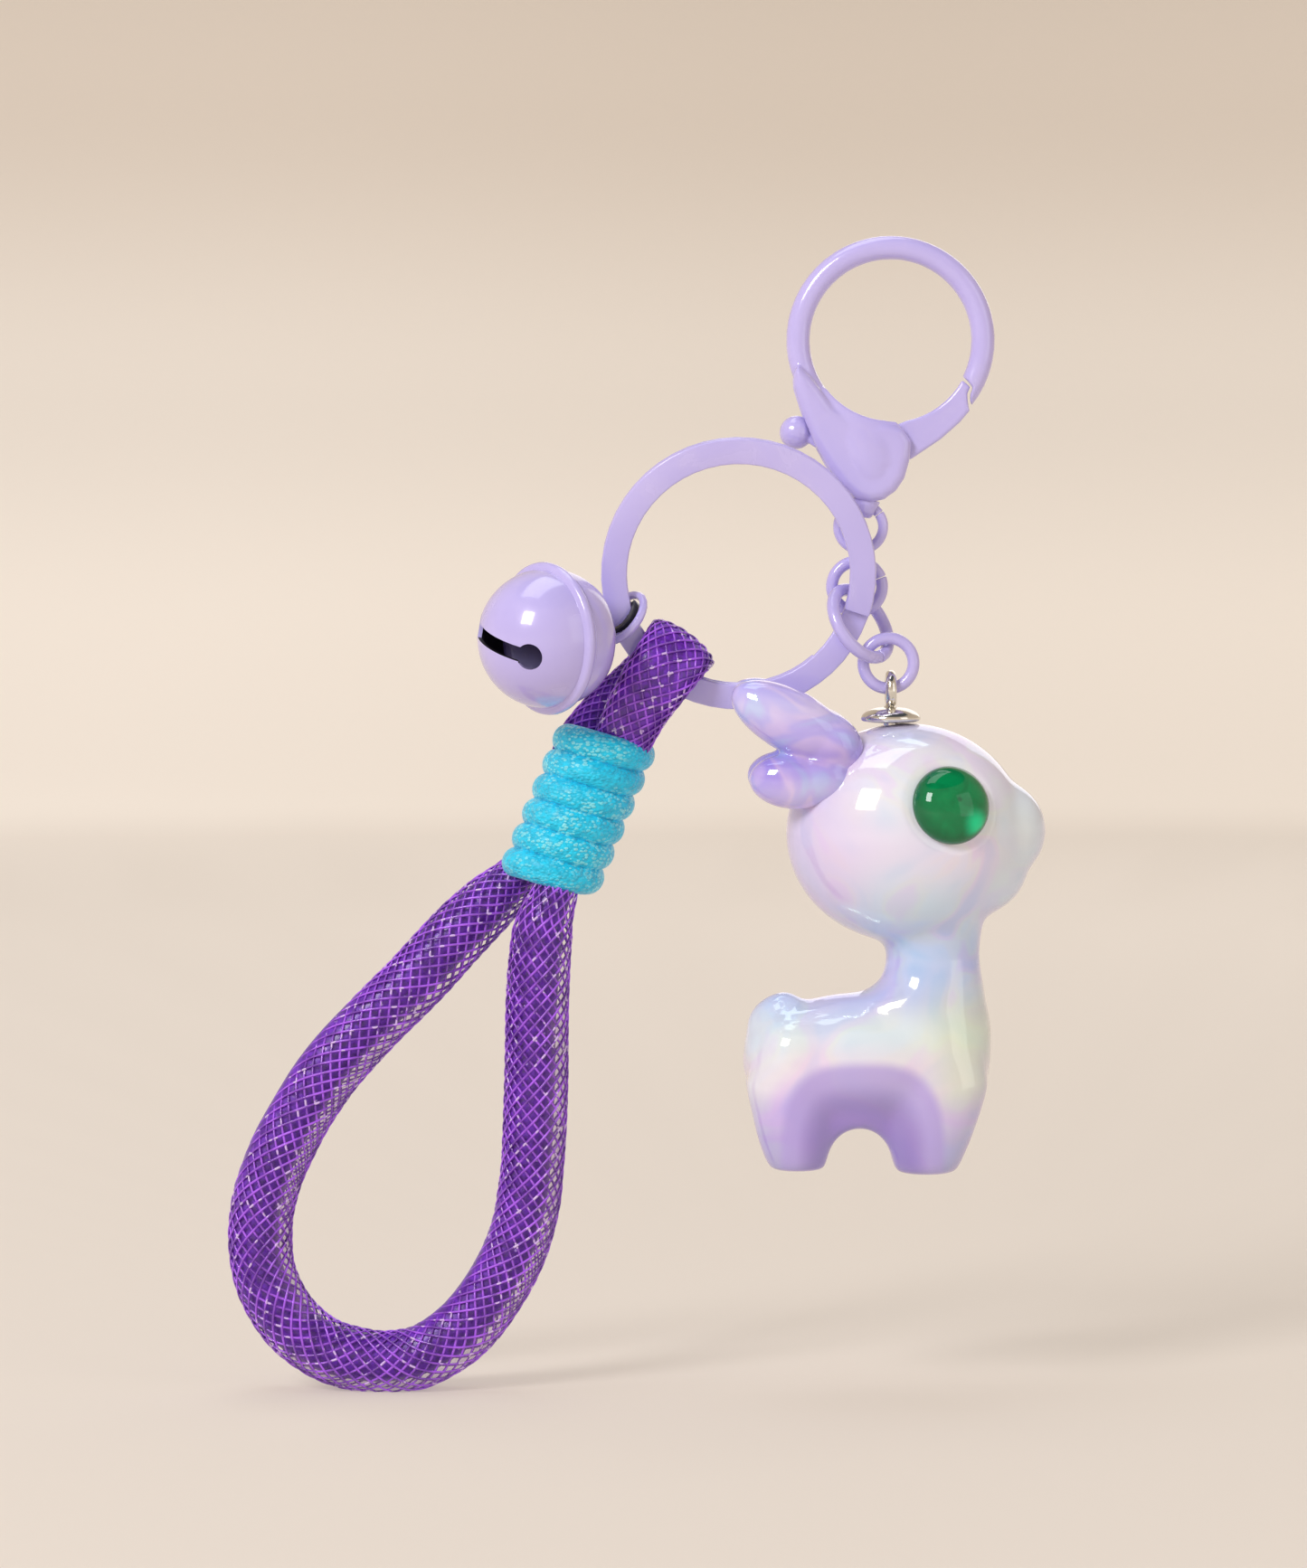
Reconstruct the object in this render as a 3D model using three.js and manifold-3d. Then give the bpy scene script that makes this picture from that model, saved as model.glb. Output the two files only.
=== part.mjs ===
// Fawn charm keychain: a round lobster clasp on a swivel, a short chain, a double-turn split ring that
// carries a jingle bell and a rope wrist strap, and a pearl fawn charm on a silver screw eye.
// Millimetres. +X right, +Z up, -Y towards the front. The origin is the inner top of the clasp's ring,
// the point that the whole keychain hangs from.
import * as THREE from "three";
import { mergeVertices } from "three/addons/utils/BufferGeometryUtils.js";
import Module from "manifold-3d";

const wasm = await Module();
wasm.setup();

// ---- driving dimensions ------------------------------------------------------------------------
const GAP = 0.3; // between pieces that touch
const CLEAR = 0.25; // between a pin and its hole

const HOOK_INNER = 9.3; // inner radius of the clasp's ring
const HOOK_WIRE = 1.4; // radius of its wire
const CLASP_TILT = 9; // degrees that the clasp leans, its foot to the left
const GATE_PIVOT = [-0.2, -12.7]; // x and z of the gate's pin, from the ring's centre
const GATE_HALF = 1.15; // half the gate's thickness
const THUMB_BALL = { x: -9.1, z: -12.2, radius: 1.95 };
const STUD_EYE_Z = -19.2; // height of the swivel stud's cross hole, from the ring's centre

const WIRE = 0.7; // radius of the chain's wire
const LINK = 2.9; // radius of a round link's centreline
const SWIVEL_RING = { radius: 2.6, wire: 0.6 };
const CHAIN_Y = -0.2; // depth of the upper chain
const CHARM_Y = -2.2; // depth of the charm and the link above it
const LINK_1 = { x: -3.72, z: -34.15, half: 2.26, wide: 1.8, wire: 0.57 };
const LINK_2 = { x: -3.83, z: -37.74 };
const JUMP = { x: -3.48, z: -42.0, radius: 4.43, wire: 0.75 };
const CHARM_RING = { x: -0.26, z: -46.58 };

const SPLIT = { x: -17.6, y: -3.4, z: -36.26, radius: 14.35, band: 3.05, layer: 0.8, between: 0.12 };
const SPLIT_TILT = 10; // degrees that the split ring leans, its top to the front
const SPLIT_END = -18; // angle of the front layer's end, from +X
const SPLIT_RAMP = 26; // degrees over which the coil steps from its front to its back layer

const BELL = { x: -39.5, y: -9.8, z: -43.6, radius: 8, sheet: 0.5 };
const BELL_AXIS = [-0.776, -0.628, -0.05]; // towards the slotted end
const BELL_SLOT = [0.59, -0.73, -0.342]; // along the slot
const BELL_EYE = { x: -30.95, y: -2.6, z: -41.35, radius: 3.2, wire: 0.52 };
const PELLET = { radius: 1.6, orbit: 5.6 };

const ROPE = 3.7; // radius of the strap's rope
const STRAP_Y = -1.35; // depth of the strap's middle
const WRAP = { x: -36.13, z: -63.2, length: 16.7, radius: 6, bore: 4.45, turns: 6, tilt: 23.5 };
const FERRULE = { radius: 4.15, bore: 3.5, length: 12 };

const SCREW = { x: 0, loop: 1.7, wire: 0.65, z: -49.7, shank: 0.8, tip: -60 };
const CAP = { radius: 3.4, top: -52.1, height: 1.2 };
const EYE = { x: 6.7, z: -62.7, radius: 4.35, dome: 2.9 };

// ---- helpers -----------------------------------------------------------------------------------
const rad = THREE.MathUtils.degToRad;
const at = (x, y, z) => new THREE.Vector3(x, y, z);

// A closed geometry as a solid, turned right side out if its faces point inwards.
function solid(geometry) {
  const bare = geometry.clone();
  bare.deleteAttribute("normal");
  bare.deleteAttribute("uv");
  const merged = mergeVertices(bare, 1e-4);
  const triVerts = new Uint32Array(merged.index.array);
  const vertProperties = merged.attributes.position.array;
  const build = () => new wasm.Manifold(new wasm.Mesh({ numProp: 3, vertProperties, triVerts }));
  const made = build();
  if (made.volume() > 0) return made;
  for (let i = 0; i < triVerts.length; i += 3) {
    [triVerts[i + 1], triVerts[i + 2]] = [triVerts[i + 2], triVerts[i + 1]];
  }
  return build();
}

function geometryOf(body) {
  const { vertProperties, triVerts } = body.getMesh();
  const geometry = new THREE.BufferGeometry();
  geometry.setAttribute("position", new THREE.BufferAttribute(vertProperties, 3));
  geometry.setIndex(new THREE.BufferAttribute(triVerts, 1));
  geometry.computeVertexNormals();
  return geometry;
}

const joined = (...bodies) => bodies.reduce((a, b) => a.add(b));

function material(colour, roughness, metalness) {
  return new THREE.MeshStandardMaterial({ color: colour, roughness, metalness });
}

const finish = {
  lilacPaint: () => material(0xcdbeeb, 0.25, 0.1),
  steel: () => material(0xb9b9bd, 0.35, 0.9),
  silver: () => material(0xd9d6cc, 0.18, 1),
  pearl: () => material(0xe9e4ee, 0.15, 0.1),
  pearlLilac: () => material(0xb9a9ea, 0.15, 0.1),
  greenGlass: () => material(0x068a4a, 0.05, 0),
  rubber: () => material(0x17191a, 0.5, 0),
  rope: () => material(0x551e96, 0.4, 0),
  binding: () => material(0x11a9d8, 0.6, 0),
};

function add(group, name, body, colour) {
  const mesh = new THREE.Mesh(geometryOf(body), colour);
  mesh.name = name;
  group.add(mesh);
}

// A closed solid through a row of rings of points, with a flat lid on each end ring.
function skin(rings) {
  const count = rings[0].length;
  const points = rings.flat();
  const index = [];
  for (let r = 0; r + 1 < rings.length; r++) {
    for (let i = 0; i < count; i++) {
      const [a, b] = [r * count + i, r * count + ((i + 1) % count)];
      index.push(a, b, b + count, a, b + count, a + count);
    }
  }
  for (const [ring, turn] of [[0, -1], [rings.length - 1, 1]]) {
    const middle = points.length;
    const lid = rings[ring];
    points.push(lid.reduce((sum, p) => sum.add(p), at(0, 0, 0)).divideScalar(count));
    for (let i = 0; i < count; i++) {
      const [a, b] = [ring * count + i, ring * count + ((i + 1) % count)];
      index.push(...(turn > 0 ? [a, b, middle] : [b, a, middle]));
    }
  }
  const geometry = new THREE.BufferGeometry().setFromPoints(points);
  geometry.setIndex(index);
  return solid(geometry);
}

// A ring of points on an oval with half-axes along two directions; a power under 1 squares it up.
function oval(centre, alongA, alongB, count, power = 1) {
  const square = (share) => Math.sign(share) * Math.abs(share) ** power;
  return Array.from({ length: count }, (_, i) => {
    const turn = (2 * Math.PI * i) / count;
    return centre
      .clone()
      .addScaledVector(alongA, square(Math.cos(turn)))
      .addScaledVector(alongB, square(Math.sin(turn)));
  });
}

// A solid of oval levels, from rows of [z, middle x, half-width in x, half-depth in y].
function tower(rows, y, count, power) {
  const level = ([z, x, wide, deep]) => oval(at(x, y, z), at(wide, 0, 0), at(0, deep, 0), count, power);
  return skin(rows.map(level));
}

function tube(points, radius, sides, steps) {
  const section = new THREE.Shape();
  section.absarc(0, 0, radius, 0, 2 * Math.PI);
  return solid(
    new THREE.ExtrudeGeometry(section, {
      steps,
      curveSegments: sides / 2, // points on each half of the circle
      bevelEnabled: false,
      extrudePath: new THREE.CatmullRomCurve3(points, false, "centripetal"),
    }),
  );
}

// A ring of round wire that lies in the XZ plane; turn makes it lie in the YZ plane.
function wireRing(radius, wire, { edgeOn = false, stretch = 1 } = {}) {
  const ring = new THREE.TorusGeometry(radius, wire, 8, 24).rotateX(Math.PI / 2);
  ring.scale(1, 1, stretch);
  return solid(edgeOn ? ring.rotateZ(Math.PI / 2) : ring);
}

function ball(x, y, z, a, b = a, c = a, wide = 18, high = 12) {
  const sphere = new THREE.SphereGeometry(1, wide, high).rotateX(Math.PI / 2);
  return solid(sphere.scale(a, b, c).translate(x, y, z));
}

// A round bar between two points.
function bar(from, to, radius, sides = 20) {
  const axis = to.clone().sub(from);
  const geometry = new THREE.CylinderGeometry(radius, radius, axis.length(), sides);
  geometry.applyQuaternion(new THREE.Quaternion().setFromUnitVectors(at(0, 1, 0), axis.clone().normalize()));
  return solid(geometry.translate(...from.clone().add(to).multiplyScalar(0.5).toArray()));
}

function box(x0, x1, y0, y1, z0, z1) {
  const block = new THREE.BoxGeometry(x1 - x0, y1 - y0, z1 - z0);
  return solid(block.translate((x0 + x1) / 2, (y0 + y1) / 2, (z0 + z1) / 2));
}

// A plate whose outline lies in the XZ plane, with rounded edges, centred on y = 0.
function plate(outline, half, round) {
  const shape = new THREE.Shape(outline.map(([x, z]) => new THREE.Vector2(x, z)));
  const geometry = new THREE.ExtrudeGeometry(shape, {
    depth: 2 * (half - round),
    bevelThickness: round,
    bevelSize: round,
    bevelOffset: -round,
    bevelSegments: 2,
    bevelEnabled: round > 0,
  });
  return solid(geometry.translate(0, 0, -(half - round)).rotateX(Math.PI / 2));
}

// Points on an arc in the XZ plane, with angles in degrees from +X towards +Z.
function arc(radius, from, to, count) {
  return Array.from({ length: count }, (_, i) => {
    const turn = rad(from + ((to - from) * i) / (count - 1));
    return [radius * Math.cos(turn), radius * Math.sin(turn)];
  });
}

const keychain = new THREE.Group();

// ---- clasp: hook with its funnel body, gate, pin, spring and swivel -------------------------------
const clasp = new THREE.Group();
clasp.position.z = -HOOK_INNER;
clasp.rotation.y = rad(CLASP_TILT);
keychain.add(clasp);

const [pivotX, pivotZ] = GATE_PIVOT;
const pivotAt = (y) => at(pivotX, y, pivotZ);
const inside = HOOK_INNER + 0.15; // the gate's inner edge follows the ring's opening

const gateOutline = [
  ...arc(inside, -20, -70, 9),
  [1.6, -9.9],
  [-0.6, -10.4],
  [-2.4, -11.6],
  [-6.4, -12.1],
  [-8.2, -11.9],
  [-8.2, -12.9],
  [-6.4, -13.7],
  [-2.4, -14.2],
  [-0.2, -14.9],
  [1.8, -14.6],
  [4.6, -13.1],
  [7.5, -10.4],
  [9.4, -8.1],
  [10.3, -6.6],
  [9.9, -5.6],
  [9.7, -4.7],
  [9.9, -3.9],
];

// The S-shaped parting line between the gate's nose and the hook's tip.
const hookNose = [
  [8.2, -2.6],
  [9.35, -3.1],
  [10.25, -3.9],
  [10.05, -4.8],
  [10.25, -5.7],
  [10.95, -6.5],
  [13, -5.6],
  [13, 0],
  [8.2, 0],
];

// The slot through the funnel for the gate's arm and its thumb lever.
const leverSlot = [
  [-1.9, -8],
  [-1.9, -11],
  [-9.5, -11.2],
  [-9.5, -18.5],
  [-3.4, -15.6],
  [7.5, -15.6],
  [7.5, -8],
];

function claspBody() {
  const round = HOOK_INNER + HOOK_WIRE;
  const hook = tube(arc(round, -36, 232, 30).map(([x, z]) => at(x, 0, z)), HOOK_WIRE, 12, 40);
  const tip = box(6, 14, -3, 3, -9, -1.2).subtract(plate(hookNose, 3.2, 0));
  const funnel = tower(
    [
      [-6.6, -4.6, 5.6, 1.3],
      [-8.2, -3.1, 6.1, 1.8],
      [-9.8, -1.95, 6.05, 2.5],
      [-12, -0.95, 5.45, 3.0],
      [-14, -0.2, 4.7, 3.1],
      [-15.6, 0.1, 3.8, 2.9],
      [-17, 0.25, 2.9, 2.5],
      [-18.3, 0.15, 2.1, 2.0],
    ],
    0,
    24,
  ).subtract(bar(at(0, -4, 0), at(0, 4, 0), HOOK_INNER, 56));
  const slot = joined(
    plate(leverSlot, GATE_HALF + CLEAR, 0),
    bar(pivotAt(-1.9), pivotAt(4), 0.6 + CLEAR),
    bar(at(0, 0, -16.9), at(0, 0, -15), 1.05 + CLEAR),
    bar(at(0, 0, -19), at(0, 0, -16), 0.7 + CLEAR),
  );
  return joined(hook.subtract(tip), funnel).subtract(slot);
}

function gateLever() {
  const { x, z, radius } = THUMB_BALL;
  const arm = plate(gateOutline, GATE_HALF, 0.35);
  const springPocket = bar(pivotAt(0.05), pivotAt(2), 1.75);
  return joined(arm, ball(x, 0, z, radius)).subtract(
    joined(bar(pivotAt(-2), pivotAt(2), 0.6 + CLEAR), springPocket),
  );
}

function gateSpring() {
  const turns = 2.25;
  const coil = Array.from({ length: 28 }, (_, i) => {
    const turn = (2 * Math.PI * turns * i) / 27;
    return at(pivotX + 1.2 * Math.cos(turn), 0.4 + (0.5 * i) / 27, pivotZ + 1.2 * Math.sin(turn));
  });
  return tube(coil, 0.1, 6, 36);
}

function swivelStud() {
  const knob = tower(
    [
      [-18.6, 0, 1.75, 1.75],
      [-19.2, 0, 1.8, 1.75],
      [-20.1, 0, 1.5, 1.45],
      [-20.7, 0, 0.9, 0.9],
    ],
    0,
    20,
  );
  const shank = bar(at(0, 0, -18.8), at(0, 0, -16.4), 0.7);
  const head = bar(at(0, 0, -16.75), at(0, 0, -16), 1.05);
  const eye = wireRing(SWIVEL_RING.radius, SWIVEL_RING.wire + CLEAR);
  return joined(knob, shank, head).subtract(eye.translate([0, 0, STUD_EYE_Z - SWIVEL_RING.radius]));
}

add(clasp, "clasp_body", claspBody(), finish.lilacPaint());
add(clasp, "gate_lever", gateLever(), finish.lilacPaint());
add(clasp, "gate_pin", bar(pivotAt(-1.6), pivotAt(2.6), 0.6), finish.steel());
add(clasp, "gate_spring", gateSpring(), finish.steel());
add(clasp, "swivel_stud", swivelStud(), finish.lilacPaint());
const swivelRing = wireRing(SWIVEL_RING.radius, SWIVEL_RING.wire);
add(clasp, "swivel_ring", swivelRing.translate([0, 0, STUD_EYE_Z - SWIVEL_RING.radius]), finish.lilacPaint());

// ---- chain -----------------------------------------------------------------------------------------
const chain = new THREE.Group();
keychain.add(chain);

const link1 = wireRing(LINK_1.wide, LINK_1.wire, { edgeOn: true, stretch: LINK_1.half / LINK_1.wide });
add(chain, "chain_link_upper", link1.translate([LINK_1.x, CHAIN_Y, LINK_1.z]), finish.lilacPaint());
const link2 = wireRing(LINK, WIRE);
add(chain, "chain_link_lower", link2.translate([LINK_2.x, CHAIN_Y, LINK_2.z]), finish.lilacPaint());
const link4 = wireRing(LINK, WIRE);
add(chain, "charm_ring", link4.translate([CHARM_RING.x, CHARM_Y, CHARM_RING.z]), finish.lilacPaint());

// The jump ring is an open ring that lies slantwise, with its cut at the foot.
function jumpRing() {
  const down = at(0.579, 0, -0.815);
  const back = at(0.448, 0.835, 0.318);
  const centre = at(JUMP.x, CHARM_Y, JUMP.z);
  const cut = 4; // degrees left open on each side of the cut
  const where = -14; // degrees round from the lowest point
  const points = Array.from({ length: 33 }, (_, i) => {
    const turn = rad(where + cut + ((360 - 2 * cut) * i) / 32);
    return centre
      .clone()
      .addScaledVector(down, JUMP.radius * Math.cos(turn))
      .addScaledVector(back, JUMP.radius * Math.sin(turn));
  });
  return tube(points, JUMP.wire, 8, 32);
}
add(chain, "jump_ring", jumpRing(), finish.lilacPaint());

// ---- split ring: two turns of flat band, with a step from the front to the back turn ---------------
const splitRing = new THREE.Group();
splitRing.position.set(SPLIT.x, SPLIT.y, SPLIT.z);
splitRing.rotation.x = rad(SPLIT_TILT);
keychain.add(splitRing);

function bandSection(degrees, y) {
  const [inner, outer] = [SPLIT.radius - SPLIT.band / 2, SPLIT.radius + SPLIT.band / 2];
  const half = SPLIT.layer / 2;
  const edge = 0.12; // rounding of the band's long edges
  const turn = rad(degrees);
  const corner = (r, dy) => at(r * Math.cos(turn), y + dy, r * Math.sin(turn));
  return [
    corner(inner + edge, -half),
    corner(outer - edge, -half),
    corner(outer, 0),
    corner(outer - edge, half),
    corner(inner + edge, half),
    corner(inner, 0),
  ];
}

function splitBand() {
  const front = -(SPLIT.layer + SPLIT.between) / 2;
  const total = 720 - SPLIT_RAMP - 4;
  const steps = 100;
  return skin(
    Array.from({ length: steps + 1 }, (_, i) => {
      const turned = (total * i) / steps;
      const share = THREE.MathUtils.smoothstep(turned, 360 - SPLIT_RAMP, 360);
      return bandSection(SPLIT_END + turned, front * (1 - 2 * share));
    }),
  );
}
add(splitRing, "split_ring", splitBand(), finish.lilacPaint());

// ---- jingle bell -------------------------------------------------------------------------------------
const bell = new THREE.Group();
keychain.add(bell);

const bellCentre = at(BELL.x, BELL.y, BELL.z);
const bellAxis = at(...BELL_AXIS).normalize();
const bellSlot = at(...BELL_SLOT).addScaledVector(bellAxis, -at(...BELL_SLOT).dot(bellAxis)).normalize();
const bellFrame = new THREE.Matrix4()
  .makeBasis(bellSlot, bellAxis, bellSlot.clone().cross(bellAxis))
  .setPosition(bellCentre);
const onBell = (body) => solid(geometryOf(body).applyMatrix4(bellFrame));

function lathe(profile, segments = 24) {
  return solid(new THREE.LatheGeometry(profile.map(([r, y]) => new THREE.Vector2(r, y)), segments));
}

// Points on an arc of a lathe profile: angle 0 is the front pole, 180 the rear one.
function meridian(radius, from, to, count) {
  return arc(radius, 90 - from, 90 - to, count).map(([r, y]) => [Math.max(r, 0), y]);
}

function bellFront() {
  const { radius, sheet } = BELL;
  const shell = lathe([
    ...meridian(radius, 0, 84, 8),
    [radius + 0.55, 0.75],
    [radius + 0.75, 0.2],
    [radius + 0.55, -0.4],
    [radius - sheet, -0.4],
    ...meridian(radius - sheet, 90, 0, 7),
  ]);
  const turn = rad(38);
  const holes = [-1, 1].map((side) => {
    const out = at(side * Math.sin(turn), Math.cos(turn), 0);
    return bar(out.clone().multiplyScalar(5), out.clone().multiplyScalar(10), 1.5, 18);
  });
  const reach = radius * Math.sin(turn);
  return onBell(shell.subtract(joined(box(-reach, reach, 4, 10, -0.85, 0.85), ...holes)));
}

function bellRear() {
  const { radius, sheet } = BELL;
  const shell = lathe([
    [radius + 0.25, -0.75],
    [radius + 0.1, -1.1],
    ...meridian(radius, 100, 132, 4),
    ...meridian(radius - 0.25, 134, 170, 4),
    [0.95, -radius + 0.25],
    [0.95, -radius + 0.25 + sheet],
    ...meridian(radius - 0.25 - sheet, 170, 134, 4),
    ...meridian(radius - sheet, 132, 97, 4),
    [radius - sheet, -0.75],
    [radius + 0.25, -0.75],
  ]);
  return onBell(shell);
}

// The wire eye at the back of the bell goes round the split ring, and its tail is riveted into the shell.
const eyeUp = at(0.45, 0.35, 0.82).normalize();
const eyeSide = at(0.6, -0.8, 0).addScaledVector(eyeUp, 0.01).normalize();
const eyeNormal = eyeUp.clone().cross(eyeSide);
const eyeCentre = at(BELL_EYE.x, BELL_EYE.y, BELL_EYE.z);

function bellEye() {
  const ring = new THREE.TorusGeometry(BELL_EYE.radius, BELL_EYE.wire, 6, 24);
  ring.applyMatrix4(new THREE.Matrix4().makeBasis(eyeSide, eyeUp, eyeSide.clone().cross(eyeUp)));
  const foot = eyeCentre.clone().addScaledVector(eyeUp, -BELL_EYE.radius);
  const behind = (reach) => bellCentre.clone().addScaledVector(bellAxis, -reach);
  const tail = tube([behind(6.6), behind(7.8), behind(8.5), foot], 0.6, 8, 8);
  const rivet = bar(behind(6.3), behind(6.9), 1.3, 12);
  return joined(solid(ring.translate(...eyeCentre.toArray())), tail, rivet);
}

// A rubber bead lines the eye on the side away from the bell, and clears the band at any angle.
function bellBead() {
  const disc = bar(
    eyeCentre.clone().addScaledVector(eyeNormal, -0.8),
    eyeCentre.clone().addScaledVector(eyeNormal, 0.8),
    BELL_EYE.radius - BELL_EYE.wire - 0.2,
    24,
  );
  const along = at(0.342, 0, -0.94).multiplyScalar(6); // the band's own direction here
  const band = bar(eyeCentre.clone().sub(along), eyeCentre.clone().add(along), 1.97, 24);
  const right = (body) => body.boundingBox().max[0];
  const [bead] = disc.subtract(band).decompose().sort((p, q) => right(q) - right(p));
  return bead;
}

add(bell, "bell_front_shell", bellFront(), finish.lilacPaint());
add(bell, "bell_rear_shell", bellRear(), finish.lilacPaint());
add(bell, "bell_eye", bellEye(), finish.lilacPaint());
add(bell, "bell_bead", bellBead(), finish.rubber());
const pellet = ball(BELL.x, BELL.y, BELL.z - PELLET.orbit, PELLET.radius);
add(bell, "bell_pellet", pellet, finish.steel());

// ---- wrist strap: rope loop, rope fold over the split ring, cord binding and crimp ----------------------
const strap = new THREE.Group();
keychain.add(strap);

// The loop's centreline, from the back strand at the binding round to the front strand.
const LOOP_ROUTE = [
  [-43.6, 2.1, -71.9],
  [-46.5, 1.9, -74.6],
  [-50.2, 1.1, -78.2],
  [-55.0, 0.2, -83.4],
  [-60.4, -0.6, -88.8],
  [-65.5, -1.1, -94.6],
  [-69.9, -1.35, -101.8],
  [-72.4, -1.35, -108.0],
  [-73.1, -1.35, -113.3],
  [-72.4, -1.35, -118.3],
  [-69.8, -1.35, -123.0],
  [-65.9, -1.35, -126.2],
  [-61.7, -1.35, -127.6],
  [-57.6, -1.35, -127.9],
  [-53.6, -1.35, -126.9],
  [-49.0, -1.4, -123.6],
  [-45.0, -1.5, -118.0],
  [-42.6, -1.7, -112.2],
  [-41.5, -2.1, -105.4],
  [-41.0, -2.8, -95.5],
  [-40.8, -3.7, -85.0],
  [-40.2, -4.4, -77.6],
  [-39.1, -4.5, -73.9],
];
add(strap, "strap_loop", tube(LOOP_ROUTE.map((p) => at(...p)), ROPE, 10, 56), finish.rope());

// The rope is flattened where it folds over the split ring: middle, half-width and half-thickness.
const FOLD_STATIONS = [
  [-31.5, -3.5, -56.4, 3.2, 2.0],
  [-29.3, -4.6, -52.0, 3.5, 2.0],
  [-27.2, -5.05, -48.6, 3.9, 1.95],
  [-26.0, -4.9, -46.9, 4.0, 1.85],
  [-24.6, -3.6, -45.0, 4.2, 1.7],
  [-24.0, -1.35, -44.3, 4.3, 1.6],
  [-24.6, 0.6, -45.0, 4.2, 1.7],
  [-26.2, 1.9, -47.1, 4.0, 1.85],
  [-28.3, 2.2, -49.2, 3.8, 1.95],
  [-32.0, 2.0, -52.2, 3.4, 2.0],
  [-35.3, 1.3, -55.6, 3.1, 2.0],
];

function strapFold() {
  const middles = FOLD_STATIONS.map(([x, y, z]) => at(x, y, z));
  const route = new THREE.CatmullRomCurve3(middles, false, "centripetal");
  const across = at(0.809, 0, -0.588); // along the split ring's band where the rope crosses it
  const last = FOLD_STATIONS.length - 1;
  const rope = skin(
    Array.from({ length: 3 * last + 1 }, (_, i) => {
      const station = i / 3;
      const [a, b] = [FOLD_STATIONS[Math.floor(station)], FOLD_STATIONS[Math.ceil(station)]];
      const between = (k) => THREE.MathUtils.lerp(a[k], b[k], station % 1);
      const along = route.getTangent(station / last);
      const wide = across.clone().addScaledVector(along, -across.dot(along)).normalize();
      const thick = along.clone().cross(wide);
      const middle = route.getPoint(station / last);
      return oval(middle, wide.multiplyScalar(between(3)), thick.multiplyScalar(between(4)), 12);
    }),
  );
  const below = bar(at(0, 0, -WRAP.length / 2), at(0, 0, WRAP.length / 2 + GAP), 12, 24);
  return rope.subtract(below.rotate([0, WRAP.tilt, 0]).translate([WRAP.x, STRAP_Y, WRAP.z]));
}
add(strap, "strap_fold", strapFold(), finish.rope());

const binding = new THREE.Group();
binding.position.set(WRAP.x, STRAP_Y, WRAP.z);
binding.rotation.y = rad(WRAP.tilt);
strap.add(binding);

const upright = (body) => body.rotate([90, 0, 0]);

function cordBinding() {
  const turn = WRAP.length / WRAP.turns;
  const profile = [[WRAP.bore, -WRAP.length / 2]];
  for (let i = 0; i < WRAP.turns; i++) {
    const low = -WRAP.length / 2 + i * turn;
    for (const [out, up] of [[-0.75, 0], [-0.05, 0.3], [-0.05, 0.7]]) {
      profile.push([WRAP.radius + out, low + up * turn]);
    }
  }
  profile.push([WRAP.radius - 0.75, WRAP.length / 2], [WRAP.bore, WRAP.length / 2], profile[0]);
  return upright(lathe(profile, 20));
}

function ring(outer, inner, length) {
  return upright(lathe([[inner, -length / 2], [outer, -length / 2], [outer, length / 2], [inner, length / 2],
    [inner, -length / 2]], 20));
}

add(binding, "cord_binding", cordBinding(), finish.binding());
add(binding, "end_ferrule", ring(FERRULE.radius, FERRULE.bore, FERRULE.length), finish.steel());
const endsHalf = WRAP.length / 2 - 0.6;
const ropeEnds = bar(at(0, 0, -endsHalf), at(0, 0, endsHalf), FERRULE.bore - GAP, 20);
add(binding, "rope_ends", ropeEnds, finish.rope());

// ---- charm: screw eye, cap, fawn body, ears and eyes ------------------------------------------------------
const charm = new THREE.Group();
charm.position.y = CHARM_Y;
keychain.add(charm);

function screwEye() {
  const loop = wireRing(SCREW.loop, SCREW.wire, { edgeOn: true }).translate([SCREW.x, 0, SCREW.z]);
  const shank = bar(at(SCREW.x, 0, SCREW.z - SCREW.loop), at(SCREW.x, 0, SCREW.tip), SCREW.shank);
  return joined(loop, shank);
}

function screwCap() {
  const { radius, top, height } = CAP;
  const dome = upright(lathe([
    [SCREW.shank + CLEAR, top],
    [SCREW.shank + CLEAR, top - height * 0.75],
    [radius * 0.7, top - height * 0.8],
    [radius * 0.95, top - height],
    [radius, top - height * 0.8],
    [radius * 0.93, top - height * 0.5],
    [radius * 0.65, top - height * 0.18],
    [radius * 0.4, top],
    [SCREW.shank + CLEAR, top],
  ]));
  return dome.translate([SCREW.x, 0, 0]);
}

const HEAD = { x: 1.8, z: -66.2, a: 14.1, b: 11.8, c: 12.9 };

// The eye's middle on the side of the head, and the direction that the head's surface faces there.
function eyeSeat(side) {
  const [dx, dz] = [EYE.x - HEAD.x, EYE.z - HEAD.z];
  const y = HEAD.b * Math.sqrt(1 - (dx / HEAD.a) ** 2 - (dz / HEAD.c) ** 2);
  const out = at(dx / HEAD.a ** 2, (side * y) / HEAD.b ** 2, dz / HEAD.c ** 2).normalize();
  return { seat: at(EYE.x, side * y, EYE.z), out };
}

function eyeDome(side, radius, dome, lift) {
  const { seat, out } = eyeSeat(side);
  const geometry = new THREE.SphereGeometry(1, 20, 10).scale(radius, dome, radius);
  geometry.applyQuaternion(new THREE.Quaternion().setFromUnitVectors(at(0, 1, 0), out));
  return solid(geometry.translate(...seat.addScaledVector(out, lift).toArray()));
}

function fawnHead() {
  return joined(
    ball(HEAD.x, 0, HEAD.z, HEAD.a, HEAD.b, HEAD.c, 26, 18),
    ball(13.5, 0, -67.0, 4.7, 4.0, 4.8),
    ball(8.2, 0, -70.0, 7.4, 6.4, 6.5),
  );
}

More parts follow.
